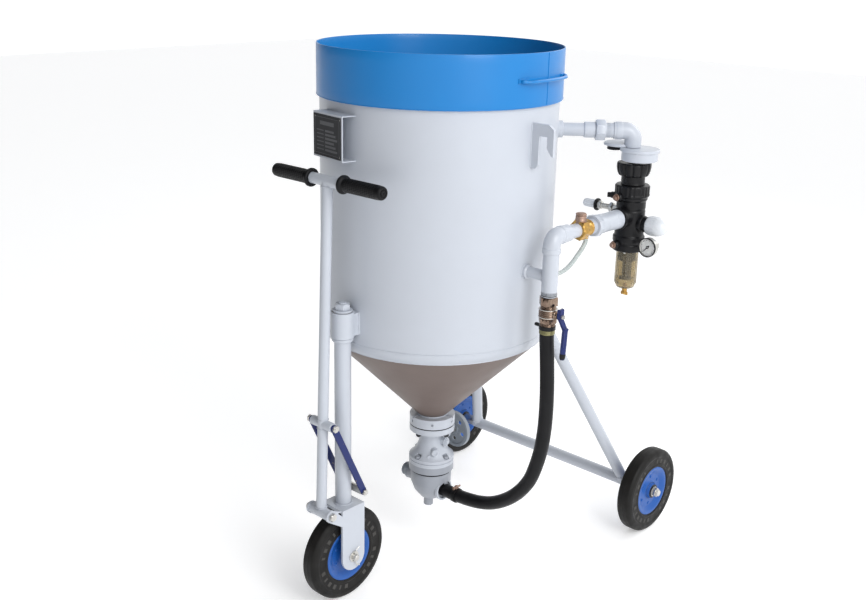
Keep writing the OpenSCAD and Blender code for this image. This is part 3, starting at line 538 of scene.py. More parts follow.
def tank_radius(z):
    """Outside radius of cylinder, knuckle or cone at a height."""
    if z >= SEAM_Z:
        return TANK_R
    drop = SEAM_Z - z
    if drop < KNUCKLE_R * sin(pi / 4):
        return TANK_R - KNUCKLE_R + sqrt(KNUCKLE_R ** 2 - drop ** 2)
    return TANK_R - KNUCKLE_R + KNUCKLE_R * sqrt(2) - drop


def saddle(origin, axis, radius, reach, count=72):
    """Closed curve where a round bar that starts at origin outside the tank runs into it along axis."""
    place = frame_to(origin, axis)
    curve = []
    for k in range(count):
        near, far = 0.0, reach
        for _ in range(24):
            middle = (near + far) / 2
            point = place @ polar(tau * k / count, radius, middle)
            if hypot(point.x, point.y) > tank_radius(point.z):
                near = middle
            else:
                far = middle
        curve.append(point)
    return curve


def cord(name, material, route, radius, slot):
    """A hose or tube along its route, held at both ends by the object."""
    path = smooth_path(route, 6)
    p = Piece(name, material)
    p.tube(path, radius, 28)
    made = p.done(name.removesuffix("_run"), slot)


def hoses():
    cord("air_hose_run", RUBBER, [(x, 0, z) for x, z in HOSE_ROUTE], HOSE_R, "black_rubber")
    cord("control_tube_run", NYLON, [(LINE_X, y, z) for y, z in TUBE_ROUTE], TUBE_R, "tube_plastic")
    low = Vector((90, 0, 200.5))
    high = Vector((LINE_X, 0, 755))
    p = Piece("hose_clamp_bands", BLACK_PLASTIC)
    p.ring(20.6, 18.3, 13, low, X, 0.5)
    p.ring(20.6, 18.3, 10, high, Z, 0.5)
    p.block((-37, -4, 1), (-19, 4, 9), 1.5, shift(high))
    p.use(RUST)
    p.block((92, -5, 219), (101, 5, 229), 1.2)
    screw = low + Vector((6.5, -14, 24))
    p.rod([(3, 0), (3, 6)] + thread(3, 6, 22, 1.6, 0.5) + [(3, 28)], screw, Y, 0.4, 24)
    p.nut(8.5, 5, screw, Y)
    p.done("hose_clamps", "rusty_steel")
    p = Piece("hose_ferrule_sleeve", OLIVE)
    p.turned([(18.3, 0), (19.2, 0)] + thread(19.5, 1.5, 9, 2.5, 0.5) + [(19.2, 10.4), (18.3, 10.4)],
             high - Z * 11, Z, 0.4, closed=True)
    p.done("hose_ferrule", "brass")


def ball_valve():
    """Nickel-plated valve with grooved body, packing nut and bent lever in a dark sleeve."""
    base = X * LINE_X
    # The casting's dark brown is a painted reflection on the nickel plating.
    p = Piece("ball_valve_casting", NICKEL_PAINTED_REFLECTION)
    for z, size in ((806.6, 23.3), (815.6, 19.4), (787, 23.3)):
        p.use(ZINC).ring(size, size - 3, 1.8, base + Z * z, Z, 0.5)
    p.use(NICKEL_PAINTED_REFLECTION)
    p.rod([(11.8, 731), (11.8, 762)] + thread(19.3, 764.5, 772, 2.6, 1.4) + [(19.3, 773)], base, Z, 0.5)
    p.nut(40, 13, base + Z * 772, Z, 0.3)
    p.rod([(19, 783), (22.4, 785)] + thread(23, 787, 806, 4.4, 1.5) + [(22, 807.5), (18.6, 809)]
          + thread(18.9, 809.5, 816, 2.2, 1.0) + [(18.6, 817)], base, Z, 0.7)
    p.nut(41, 22, base + Z * 816, Z, 0.3)
    p.rod([(10, 14), (10, 24), (8.5, 25), (8.5, 31)], LEVER, X, 0.8, 40)
    p.use(BRASS).nut(15, 5, LEVER + X * 26, X)
    p.done("ball_valve_body", "nickel_brass")
    strap = [(33.5, 18), (42, 18), (42, -8), (56, -32), (54.6, -74), (50.2, -74), (50.8, -31), (37, -8),
             (33.5, -6.5)]
    p = Piece("valve_lever_strap", NAVY)
    p.slab(eased(strap, 3, True), 14, shift(LEVER + Y * 7) @ FACING_FRONT, 0.9)
    grip = smooth_path([(55, 0, -26), (52.8, 0, -40), (51.6, 0, -70), (50, 0, -107)])
    p.tube([LEVER + Vector(v) for v in grip], lambda t: 7.2 if t < 0.95 else 5.8, 24, flat=0.52)
    p.use(BLACK_PLASTIC).tube([LEVER + Vector((50.5 - k * 0.25, 0, -92 - k * 4)) for k in range(5)],
                              lambda t: 7.6 - 2.6 * t ** 4, 24, flat=0.56)
    p.use(ZINC).nut(10, 6, LEVER + X * 42, X)
    p.done("valve_lever", "navy_paint")


def drop_line():
    base = X * LINE_X
    elbow = base + Z * RUN_Z
    p = Piece("drop_pipe_run", WHITE)
    p.rod([(PIPE_R - 0.1, 823), (PIPE_R - 0.1, 838.5), (SLEEVE_R, 838.5), (SLEEVE_R, 945), (22.4, 947),
           (22.4, 957), (20, 958.5), (20, 962)], base, Z, 1.2)
    p.bend(base + Z * 950, elbow, elbow + Y * 60, 21, 21.5)
    p.rod([(20, 26), (22.2, 28), (22.2, 38), (20.5, 40), (20.5, 48), (17.4, 50),
           (17.4, 97.6)], elbow, Y, 1.2)
    p.weld(base + Z * 946, Z, 20.3, 1.2, 4)
    groove = SLEEVE_R + 0.25
    p.use(BLACK_PLASTIC).rod([(groove, 841)] + thread(groove + 0.05, 842, 850, 2.4, 0.5) + [(groove, 851)],
                             base, Z, 0.3)
    p.done("drop_pipe", "white_paint")
    p = Piece("feed_pipe_run", WHITE)
    feed = Z * FEED_Z
    p.ring(FEED_R, FEED_R - 3, LINE_X - 64, feed + X * 50, X, 0.4, 48)
    boss = saddle(feed + X * (TANK_R + 40), -X, 18, 60)
    p.rings([boss, [Vector((TANK_R + 8, q.y, q.z)) for q in boss],
             [Vector((TANK_R + 11, q.y * 0.8, FEED_Z + (q.z - FEED_Z) * 0.8)) for q in boss]])
    p.bead(boss, 2.2, True, 5)
    p.weld(feed + X * (LINE_X - SLEEVE_R - 0.5), X, FEED_R + 0.6, 1.4, 6)
    p.done("feed_pipe", "white_paint")


def check_valve():
    """Brass check valve with its hex, plugged neck and take-off for the control tube; then the union."""
    run = Vector((LINE_X, 0, RUN_Z))
    p = Piece("check_valve_casting", BRASS)
    p.nut(46, 24, run + Y * 98, Y, 0.2)
    p.rod([(20, 121.5), (20.4, 124), (20.4, 134)] + thread(20.4, 135, 144.5, 2.4, 1) + [(19.5, 146)], run, Y)
    p.rod([(6.4, 18), (6.4, 27)], run + Y * TUBE_ROUTE[0][0], -Z, 0.6, 32)
    p.use(ZINC).nut(12.4, 5, run + Y * TUBE_ROUTE[0][0] - Z * 26.5, Z)
    p.use(RUST).rod([(15, 14), (14.6, 24), (13.4, 28), (13.4, 35)], run + Y * 112, Z, 1.5, 48)
    p.nut(24, 6, run + Y * 112 + Z * 35, Z, 0.4)
    p.done("check_valve", "brass")
    p = Piece("run_union_pipe", WHITE)
    p.rod([(18, 146.2)] + thread(19, 147, 161, 2.3, 1.0) + [(18, 162)], run, Y, 0.4)
    p.sides(8, 52.6, 18, run + Y * 162, Y, 0.2, chamfer=2.5)
    p.rod([(23, 179), (24.5, 182), (24.5, 200), (23.6, 202), (23.6, 246), (24.5, 248), (24.5, 270),
           (22, 272)], run, Y, 1.4)
    p.done("run_union", "white_paint")


def regulator():
    """Filter regulator: cast body with bonnet, fluted knob, clear bowl over its element, drain and plugs."""
    base = Vector((*REGULATOR.xy, 0))
    outer = [(28.6, COLLAR_LOW), (38.5, COLLAR_LOW), (40.9, COLLAR_LOW + 3), (40.9, 912), (39.2, 914),
             (39.2, 918), (40.9, 920), (40.9, COLLAR_HIGH - 2), (37.4, COLLAR_HIGH + 2), (37.4, 1000),
             (36.6, 1002), (36.6, 1006), (37.4, 1008)]
    bonnet = ((37.4, -4), (40.5, 0), (40.5, 6), (44.2, 9), (44.2, 13), (43.4, 15), (43.4, 31), (44.2, 33),
              (42, 37.5), (32, 38), (13, 38))
    outer += [(r, BONNET_Z + z) for r, z in bonnet]
    p = Piece("regulator_casting", BLACK_CASTING)
    p.turned(outer + [(13, 918), (28.6, 917)], base, Z, 1.4, 144, True,
             ribbed(24, 0.8, 40, BONNET_Z + 12, BONNET_Z + 34))
    p.rod([(28, -58), (28, -50), (26.5, -48), (26.5, -34), (28, -30)], base + Z * RUN_Z, Y, 1.5)
    p.rod([(21, 30), (22, 34), (22, 41), (20.5, 43.8)], base + Z * CAP_Z, X, 1.5)
    out = polar(radians(-105), 1)
    for z in PLUG_HEIGHTS:
        p.rod([(12, 30), (12, 46), (10.5, 49.5)], base + Z * z, out, 1.2, 40)
    side = polar(radians(-150), 1)
    p.rod([(8.5, 34), (8.5, 52), (6.8, 53), (6.8, 61), (5.5, 62)], base + Z * 1036, side, 0.8, 40)
    p.use(ZINC)
    for k in range(4):
        a = radians(20 + 90 * k)
        p.nut(6.5, 3.2, base + polar(a, 33.5, COLLAR_LOW - 3), Z, a)
    p.done("regulator_body", "black_casting")

    def flutes(a, r, z):
        return -3.2 * max(0, cos(12 * a)) ** 3 if r > 36 and z > 62 else 0

    p = Piece("regulator_knob_cap", BLACK_PLASTIC)
    top = [(12, -5), (12, 38.5), (31, 38.5), (30, 42), (30, 58), (31.5, 60.5), (37, 61), (40, 66), (42.5, 74),
           (43.8, 82), (43.8, 90), (42.5, 93.5), (38, 94.3), (34, 92.5), (20, 92), (18, 93), (0, 93.5)]
    p.turned([(0, -5)] + top, base + Z * BONNET_Z, Z, 1.6, 144, wave=flutes)
    p.done("regulator_knob", "black_plastic")
    bowl = [(4.2, 790), (12, 790), (23, 795.5), (28, 806)] + [(28.4, 812 + 8 * i) for i in range(9)]
    bowl += [(28.8, 884), (28.3, 915.5), (25.6, 915.5), (25.6, 884)] + [(25.8, 876 - 8 * i) for i in range(9)]
    p = Piece("regulator_bowl_shell", AMBER)
    p.turned(bowl + [(21, 799), (11, 794), (4.2, 794)], base, Z, 1.0, 108, True,
             ribbed(18, 0.5, 20, 806, 880))
    p.done("regulator_bowl", "amber_plastic")
    p = Piece("filter_core", BLACK_PLASTIC)
    p.rod([(21.5, 867), (22, 870), (22, 914)], base, Z, 1, 120, ribbed(30, 0.7, 10))
    p.rod([(12, 821)] + thread(12.6, 823, 866, 6, 0.8) + [(12, 867)], base, Z, 0.6, 48)
    p.rod([(14, 816), (18.6, 817), (18.6, 821), (10, 822.5)], base, Z, 0.8, 48)
    p.done("filter_element", "black_plastic")
    p = Piece("bowl_drain_tap", BRASS)
    p.rod([(5, 773), (6.9, 775)] + thread(6.9, 777, 786, 1.6, 0.5) + [(6.9, 789.4), (3.8, 789.6), (3.8, 801)],
          base, Z, 0.5, 40)
    p.slab(eased([(-10, -2), (10, -2), (10, 2), (-10, 2)], 1.2, True), 8, shift(base + Z * 772), 0.6)
    p.done("bowl_drain", "brass")
    p = Piece("port_plug_heads", RUST)
    for z in PLUG_HEIGHTS:
        at = base + Z * z + out * 50
        p.disc(9.4, 3, at, out, 0.8, 40)
        p.nut(12, 6, at + out * 3, out, 0.4)
    p.done("port_plugs", "rusty_steel")


def bleeder():
    """Small needle valve on the regulator's left side."""
    at = Vector((*REGULATOR.xy, JOINT["bleeder_turn"].z))
    p = Piece("bleed_valve_barrel", ZINC)
    p.rod([(8.8, 36), (8.8, 51), (8, 52)], at, -X, 0.6, 40)
    p.nut(24, 10, at - X * 52, -X, 0.3)
    p.rod([(8, 62)] + thread(8, 64, 86, 2.2, 0.7) + [(8, 88), (10.8, 89), (10.8, 98.6)], at, -X, 0.6, 40)
    p.done("bleed_valve", "zinc")
    p = Piece("bleed_knob_handle", WHITE_PLASTIC)
    p.rod([(3.9, 81), (3.9, 100)], at, -X, 0.2, 32)
    p.rod([(10.4, 106), (10.8, 110), (10.8, 138), (9, 143.6)], at, -X, 1.6, 96, ribbed(12, 0.55, 9))
    p.use(BLACK_PLASTIC).rod([(14, 99.7), (16.4, 101), (16.4, 105), (14, 106.5)], at, -X, 1, 64)
    p.done("bleed_knob", "white_plastic")


def gauge():
    """Air gauge with a printed scale, and the domed cap on the inlet."""
    base = Vector((*REGULATOR.xy, JOINT["needle_sweep"].z))
    front = base + X * 80 - Y * 20
    p = Piece("gauge_case", ZINC)
    p.rod([(6.4, 36), (6.4, 73)], base, X, 0.5, 40)
    p.nut(14, 8, base + X * 48, X)
    p.block((72, -18, -8), (88, 8, 8), 1.5, shift(base))
    p.turned([(0, 0), (21, 0), (24, 2), (24, 15), (22.6, 15), (22.6, 13.2), (0, 13.2)], front, -Y, 0.8, 96)
    p.use(BLACK_PLASTIC).ring(24.9, 22.6, 5, front - Y * 15, -Y, 0.9, 96).use(ZINC)
    p.rod([(1.9, 12), (1.9, 15.8)], front, -Y, 0.2, 24)
    p.use(DIAL).disc(22.3, 0.5, front - Y * 13.1, -Y, 0.1, 64)
    p.use(BLACK_PLASTIC)
    for k in range(28):
        a = radians(225 - 10 * k)
        size = (3.4, 0.5) if k % 3 == 0 else (1.8, 0.3)
        turn = shift(front - Y * 13.6) @ FACING_FRONT @ Matrix.Rotation(a, 4, "Z")
        p.block((20.5 - size[0], -size[1], 0), (20.5, size[1], 0.2), 0.05, turn)
    p.done("gauge", "white_plastic")
    p = Piece("gauge_pointer", BLACK_PLASTIC)
    turn = shift(front - Y * 14.6) @ FACING_FRONT @ Matrix.Rotation(radians(225), 4, "Z")
    outline = [(-6, -1.6), (3, -1.2), (17, -0.25), (17, 0.25), (3, 1.2), (-6, 1.6)]
    p.slab(eased(outline, 0.3, True), 0.8, turn, 0.15)
    p.ring(3.6, 2.1, 1.2, front - Y * 14.5, -Y, 0.2, 32)
    p.done("gauge_needle", "black_plastic")
    p = Piece("gauge_lens", CLEAR)
    p.rod([(22.3, 0), (22.4, 0.6), (22.4, 1.5), (20, 2)], front - Y * 17.5, -Y, 0.4, 64)
    p.done("gauge_glass", "clear_lens")
    p = Piece("inlet_cap_dome", WHITE_PLASTIC)
    at = Vector((*REGULATOR.xy, CAP_Z))
    dome = [(24.6, 62), (24.8, 74)] + [(r, 78 + h * 33 / 24.8) for r, h in arc((0, 0), 24.8, 10, 80, 7)]
    p.rod([(23, 57)] + dome, at, X, 1.2, 120, ribbed(20, 0.5, 20, 62, 84))
    p.use(BLACK_PLASTIC).rod([(19.8, 44.2), (19.8, 52), (21.5, 54), (21.5, 58)], at, X, 1, 64)
    p.done("inlet_cap", "white_plastic")


def exhaust():
    """Exhaust pipe with union and elbow, the flat valve under it and its silencer."""
    out = polar(EXHAUST_ANGLE, 1)
    centre = Z * EXHAUST_Z
    corner = centre + out * EXHAUST_REACH
    p = Piece("exhaust_pipe_run", WHITE)
    boss = saddle(centre + out * (TANK_R + 40), -out, 21.5, 60)
    flat = [q + out * (TANK_R + 11 - q.dot(out)) for q in boss]
    axis_at = centre + out * (TANK_R + 13)
    p.rings([boss, flat, [axis_at + (q - centre - out * (TANK_R + 11)) * 0.84 for q in flat]])
    p.bead(boss, 2.3, True, 8)
    t = TANK_R
    p.rod([(PIPE_R - 0.4, t + 10), (PIPE_R - 0.1, t + 64), (19.8, t + 66), (20, t + 68), (20, t + 92),
           (19, t + 94)], centre, out, 1.2)
    p.sides(8, 51.5, 24, centre + out * (t + 94), out, 0.2, chamfer=2.5)
    p.rod([(18.8, t + 117)] + thread(18.8, t + 120, t + 132, 2.4, 0.9) + [(18.6, t + 134), (18.6, t + 143),
           (22.2, t + 145), (22.2, EXHAUST_REACH - 30), (20.5, EXHAUST_REACH - 28)], centre, out, 1.2)
    p.bend(corner - out * 50, corner, corner - Z * 36, 21.4, 21.8)
    p.rod([(20, CAP_RIM_Z + 0.2), (21.4, CAP_RIM_Z + 1), (21.4, CAP_RIM_Z + 13), (20, CAP_RIM_Z + 15)],
          Vector((*corner.xy, 0)), Z, 1.0)
    p.done("exhaust_pipe", "white_paint")
    hub, rim = Vector((corner.x + 23, corner.y, 0)), CAP_RIM_Z
    p = Piece("exhaust_valve_cap", WHITE)
    p.rod([(40, 1130.2), (45.8, 1132), (45.8, rim - 9), (49.6, rim - 7.5), (49.9, rim - 5), (49.9, rim - 2),
           (48.5, rim - 0.2)], hub, Z, 1.2, 96)
    for k in range(8):
        a = tau * (k + 0.5) / 8
        p.nut(5, 1.6, hub + polar(a, 47, rim - 9.2), Z, a)
    p.weld(hub + Z * (rim - 8.4), Z, 46.2, 0.7, 2)
    p.done("exhaust_valve", "white_paint")

    def foam(a, r, z):
        return 0.6 * noise.noise(Vector((cos(a) * 5, sin(a) * 5, z * 0.4))) if r > 10 else 0

    p = Piece("silencer_pad", BLACK_PLASTIC)
    p.rod([(17, 0.3), (19.2, 1.5), (19.2, 5), (18.3, 6), (18.3, 8), (19.2, 9), (19.2, 13)],
          Vector((LINE_X - 63, REGULATOR.y, span("silencer")[0].z)), Z, 1, 96, wave=foam)
    p.done("silencer", "black_plastic")


def stack_fittings():
    """Studs, nuts, set screws, plug rings and weld under the tank, the stem's nut and the blast outlet."""
    # Studs and lower nuts wear the darkened white enamel as painted shade.
    p = Piece("stack_studs", WHITE_PAINTED_SHADE)
    valve_top = FLANGE_LOW - 3
    for k in range(4):
        a = radians(90 * k)
        at = polar(a, 53)
        p.rod([(3.8, valve_top - 28)] + thread(4.4, valve_top - 27, valve_top - 16, 1.8, 0.6)
              + [(4.4, FLANGE_LOW + 15)], at, Z, 0.3, 24)
        # The nuts just under the flange are near black: painted shade under the flange.
        p.use(PLATE_GREY_AND_SHADE).nut(14, 8.5, at + Z * (valve_top - 25), Z, a).use(WHITE_PAINTED_SHADE)
        p.rod([(4.4, STACK_LOW - 19)] + thread(4.4, STACK_LOW + 1, STACK_LOW + 19, 1.8, 0.6), at, Z, 0.3, 24)
        p.nut(14, 8, at + Z * (STACK_LOW + 20), Z, a)
    for k in range(6):
        a = radians(13 + 60 * k)
        p.nut(5.6, 1.8, polar(a, FLANGE_R - 4, FLANGE_LOW + 14), polar(a, 1), a)
    p.done("stack_bolts", "zinc")
    p = Piece("stack_welds_and_bosses", WHITE)
    p.weld(Z * (CONE_Z + 1), Z, CONE_R + 2.5, 2.6, 11, 120)
    for turn, reach, z, size in ((-36, 53.5, 319, 9.4), (12, 44, 341, 13.5)):
        out = polar(radians(turn), 1)
        p.ring(size, size * 0.55, 2.4, out * reach + Z * z, out, 0.8, 40)
    p.nut(13, 4, out * 49 + Z * 341, out, 0.3)
    out = polar(radians(-54), 1)
    p.disc(5, 3, out * 50 + Z * 306, out, 0.8, 32)
    p.ring(30.2, 25.2, 8.2, Vector((44, 0, 200)), X, 0.8)
    p.use(RUBBER).ring(57.4, 40, 5.4, Z * (STACK_LOW - 26), Z, 1, 96).use(WHITE)
    for z in (STACK_LOW + 4, STACK_LOW + 16):
        p.weld(Z * z, Z, FLANGE_R - 0.2, 0.7, z, 160)
    p.done()
    p = Piece("blast_coupling", CAST_GREY)
    at = Vector((-98, 0, 214))
    p.turned([(12.5, 0), (18, 0), (19, 1.5)] + thread(19, 3, 11, 2.4, 0.9) + [(18, 12), (16, 46), (12.5, 46)],
             at, X, 0.5, 64, True)
    p.sides(8, 42.4, 12, at + X * 12, X, 0.2, bore=12.6, chamfer=2)
    p.done("blast_outlet", "cast_grey")


def handle():
    """Tow handle tube with cross bar, ribbed rubber grips and the stay links."""
    up = (Matrix.Rotation(-HANDLE_LEAN, 4, "X") @ Z).normalized()
    bar = HINGE + up * HANDLE_LEN
    p = Piece("handle_tubes", WHITE)
    p.rod([(12.6, 12), (13.3, 14), (13.3, HANDLE_LEN)], HINGE, up, 0.6, 48)
    p.ring(13.3, 10.6, 360, bar - X * 180, X, 0.8, 48)
    p.ring(14, 6.6, 65, HINGE - X * 32.5, X, 1.2, 56)
    p.ring(12, 5.2, 74, STAY_TOP - X * 37, X, 1.2, 56)
    p.weld(bar - up * 13.2, up, 14, 1.8, 21)
    p.weld(HINGE + up * 14, up, 14, 1.8, 22)
    p.weld(STAY_TOP - up * 12, up, 13.8, 1.4, 23)
    p.weld(STAY_TOP + up * 12, up, 13.8, 1.4, 24)
    p.done("handle_frame", "white_paint")
    p = Piece("handle_grip_sleeves", RUBBER)
    for side in (-1, 1):
        body = [(13.5, 0), (20, 0), (22.2, 2.5), (22.2, 7.5), (19, 11), (16.6, 13)]
        body += [(16.3 + 0.35 * (i % 2), 16 + 3.5 * i) for i in range(31)]
        body += [(16.2, 126), (15.8, 131), (13, 134.8)]
        body += [(9.5, 134.8), (9.5, 132), (7, 132), (7, 134.8), (3, 134.8), (3, 133), (0, 133)]
        p.turned([(13.5, 20)] + body, bar + X * side * 51, X * side, 1.0, 112,
                 wave=ribbed(28, 0.35, 15, 18, 122))
    p.done("handle_grips", "black_rubber")
    p = Piece("stay_link_bars", NAVY)
    pin = Vector((0, WHEELS["front"].y + COLUMN_R + 12, 300))
    along = pin - STAY_TOP
    outline = arc((0, 0), 9, 90, 270, 12) + arc((along.length, 0), 9, -90, 90, 12)
    c, s = along.y / along.length, along.z / along.length
    lay = Matrix(((0, 0, 1, 0), (c, -s, 0, 0), (s, c, 0, 0), (0, 0, 0, 1)))
    for x in (-44, 38):
        p.slab(outline, 6, shift(STAY_TOP + X * x) @ lay, 0.9)
    p.done("stay_links", "navy_paint")
    p = Piece("stay_pins", ZINC)
    for at, reach, flats in ((pin, 44, 15), (STAY_TOP, 44.4, 17)):
        p.rod([(4.4, -reach - 6)] + thread(4.9, -reach - 5, -reach, 1.6, 0.5) + [(4.9, -reach), (4.9, reach)]
              + thread(4.9, reach, reach + 7, 1.6, 0.5) + [(4.4, reach + 8)], at, X, 0.3, 32)
        p.nut(flats, 6.4, at + X * reach, X, 0.2)
        p.nut(flats, 6.4, at - X * (reach + 6.4), X, 0.5)
    p.ring(10, 5, 75.6, pin - X * 37.8, X, 0.8, 40)
    p.done("stay_pin", "zinc")


def caster():
    """Steering column with its stop collar and nut, wheel pin with split pin, hinge pin and welds."""
    hub = WHEELS["front"]
    axis = Y * hub.y
    crown = span("caster_fork")[1].z - 16
    low, high, column = SLEEVE_LOW, SLEEVE_HIGH, COLUMN_R - 0.1
    p = Piece("caster_column_tube", WHITE)
    p.rod([(column - 0.1, crown), (column, low - 11), (26, low - 10), (26.8, low - 8), (26.8, low - 2),
           (25, low - 0.8), (column, low - 0.6), (column, high + 0.4), (24.6, high + 0.8), (24.8, high + 4.8),
           (17, high + 5.6)], axis, Z, 0.8, 72)
    p.nut(34, 15, axis + Z * (high + 5.6), Z, 0.35, chamfer=2)
    p.disc(9.8, 3, axis + Z * (high + 20.4), Z, 0.8, 40)
    p.weld(axis + Z * (crown + 1), Z, COLUMN_R + 1.6, 2.4, 31, 90)
    p.weld(axis + Z * (low - 10.5), Z, COLUMN_R + 1.2, 1.6, 32, 90)
    p.done("caster_column", "white_paint")
    p = Piece("caster_pin_set", ZINC)
    p.rod([(6.6, -46), (7.9, -44), (7.9, 52), (6.6, 53.8)], hub, X, 0.6, 40)
    p.nut(24, 8, hub - X * 47, X, 0.3)
    p.ring(15, 8, 3, hub + X * 39, X, 0.5, 48)
    for x in (-33, 24.5):
        p.ring(13, 8, 8.5, hub + X * x, X, 0.6, 48)
    wire = [(47, 12, 27), (47, 6, 23), (47, 0, 18), (47, -0.4, 6), (47, 0, -14), (47, 5, -22), (47, 13, -27)]
    p.tube([hub + v for v in smooth_path(wire, 6)], 1.6, 14)
    p.rod([(6.2, -42), (6.2, 42)], HINGE, X, 0.6, 36)
    for x in (-48.6, 39.2):
        p.nut(19, 9.4, HINGE + X * x, X, 0.2)
    p.done("caster_pins", "zinc")
    p = Piece("sleeve_welds", WHITE)
    for side in (-1, 1):
        foot = Vector((side * 26.6, -sqrt(TANK_R ** 2 - 26.6 ** 2) - 0.5, 0))
        p.bead(line(foot + Z * 726, foot + Z * 780, 27), 2.2, seed=side)
    p.done()


def chassis():
    """Rear legs welded to the tank, axle tube and axle with its washers and nuts."""
    left, right = WHEELS["left"], WHEELS["right"]
    axle = Vector((0, *left.yz))
    p = Piece("rear_leg_tubes", WHITE)
    for side in (-1, 1):
        foot = axle + X * side * 290
        run = Vector((side * 91, 267, 743)) - foot
        axis = run.normalized()
        top = saddle(foot, axis, LEG_R, run.length, 60)
        ring = circle(foot + axis * 6, axis, LEG_R, 60)
        p.rings([ring, [a.lerp(b, 0.5) for a, b in zip(ring, top)], top])
        p.bead(top, 2.4, True, 41 + side)
        p.weld(foot + axis * 19, axis, LEG_R + 0.6, 2, 43 + side)
    p.done("rear_legs", "white_paint")
    p = Piece("rear_axle_tube", WHITE).ring(PIPE_R - 0.1, 13.2, 600, axle - X * 300, X, 0.7)
    p.done("rear_axle", "white_paint")
    end, inner = right.x + 44, right.x - 25
    p = Piece("axle_shaft_bar", ZINC)
    p.rod([(8.6, -end)] + thread(9.8, -end + 1, -end + 20, 2, 0.8) + [(9.9, -end + 20), (9.9, end - 20)]
          + thread(9.8, end - 20, end - 1, 2, 0.8) + [(8.6, end)], axle, X, 0.4, 48)
    for side in (-1, 1):
        out = X * side
        p.ring(15, 9.8, 3, axle + out * (right.x + 25), out, 0.5, 48)
        p.nut(24, 11, axle + out * (right.x + 28), out, 0.3, chamfer=2)
        p.ring(15, 9.8, inner - 300, axle + out * 300, out, 0.6, 48)
    p.done("axle_shaft", "zinc")


def plate_details():
    """Weld beads of bracket and hook, and the plate's generic print with its rivets."""
    turn = radians(-99)
    out = polar(turn, TANK_R + 33.5)
    place = shift(out) @ Matrix.Rotation(turn + pi / 2, 4, "Z") @ FACING_FRONT
    p = Piece("nameplate_print", PRINT_GREY)
    edges = ((-52, 1161, 52, 1162), (-52, 1246, 52, 1247), (-52, 1161, -51, 1247), (51, 1161, 52, 1247))
    for x0, z0, x1, z1 in edges:
        p.block((x0, z0, 0), (x1, z1, 0.35), 0.1, place)
    for row in range(6):
        z = 1170 + row * 9
        p.block((-44, z, 0), (-14, z + 2.4, 0.3), 0.1, place)
        p.block((-8, z - 1.6, 0), (44 - 7 * (row % 3), z + 3.4, 0.3), 0.1, place)
    p.block((-30, 1229, 0), (30, 1238, 0.35), 0.1, place)
    p.use(ZINC)
    for x in (-52, 52):
        for z in (1161, 1247):
            p.lathe([(2.6, 0), (2.4, 0.9), (1.5, 1.4), (0, 1.6)], place @ shift((x, z, 0)), 20)
    p.done()
    p = Piece("bracket_and_hook_welds", WHITE)
    for z in (1150, 1258):
        p.bead([polar(turn + 0.2 * (k / 30 - 1), TANK_R, z) for k in range(61)], 1.8, seed=z)
    for y in (-4.6, 4.6):
        p.bead(line((TANK_R + 0.2, y, 1142), (TANK_R + 0.2, y, 1246), 52), 1.9, seed=y)
    p.done()


def tank():
    """Pressure vessel: cone, knuckle, cylinder and dished head, with girth welds."""
    wall = 6
    centre = (TANK_R - KNUCKLE_R, SEAM_Z)
    knee_r, knee_z = centre[0] + KNUCKLE_R * cos(pi / 4), SEAM_Z - KNUCKLE_R * sin(pi / 4)
    head_z = span("gaskets")[1].z + 18
    dish = TANK_TOP - head_z

    def head(t, drop):
        return ((TANK_R - wall) * (1 - t) + 62 * t, TANK_TOP - dish * (1 - (1 - t) ** 2) - drop)

    outer = ([(CONE_R, CONE_Z)] + arc(centre, KNUCKLE_R, -45, 0, 10)
             + [(TANK_R, SEAM_Z + 120 * i) for i in range(1, 5)] + [(TANK_R, TANK_TOP)])
    inner = ([(TANK_R - wall, TANK_TOP - 24)] + arc(centre, KNUCKLE_R - wall, 0, -45, 8)
             + [(CONE_R - wall, CONE_Z + wall * (sqrt(2) - 1))])
    dish_top = [head(i / 16, 0) for i in range(17)]
    dish_under = [head(i / 16, wall) for i in range(16, -1, -1)]

    def flat_spots(a, r, z):
        return 0.35 * noise.noise(polar(a, 2.2, z / 260)) if r > 200 else 0

    p = Piece("tank_body", WHITE)
    p.lathe(outer + dish_top + dish_under + inner, segments=192, closed=True, wave=flat_spots)
    # A thin sheet over the cone carries the painted reflection.
    p.use(CONE_PAINTED_REFLECTION).lathe(line((CONE_R + 0.4, CONE_Z + 0.2), (knee_r + 0.4, knee_z - 0.4), 8), segments=192)
    p.use(WHITE)
    p.ring(62.5, 44, 26, Z * (head_z - 18), Z, 2, 96)
    for z, r, size in ((SEAM_Z, TANK_R, 1.7), (knee_z, knee_r, 1.5)):
        p.bead(level_circle(r, z), size, True, z)
    p.bead(line(polar(2.4, TANK_R, SEAM_Z), polar(2.4, TANK_R, TANK_TOP), 160), 1.5)
    p.bead(level_circle(64, head_z + 1, 120), 2.2, True, 3)
    p.done("tank_shell", "white_paint")


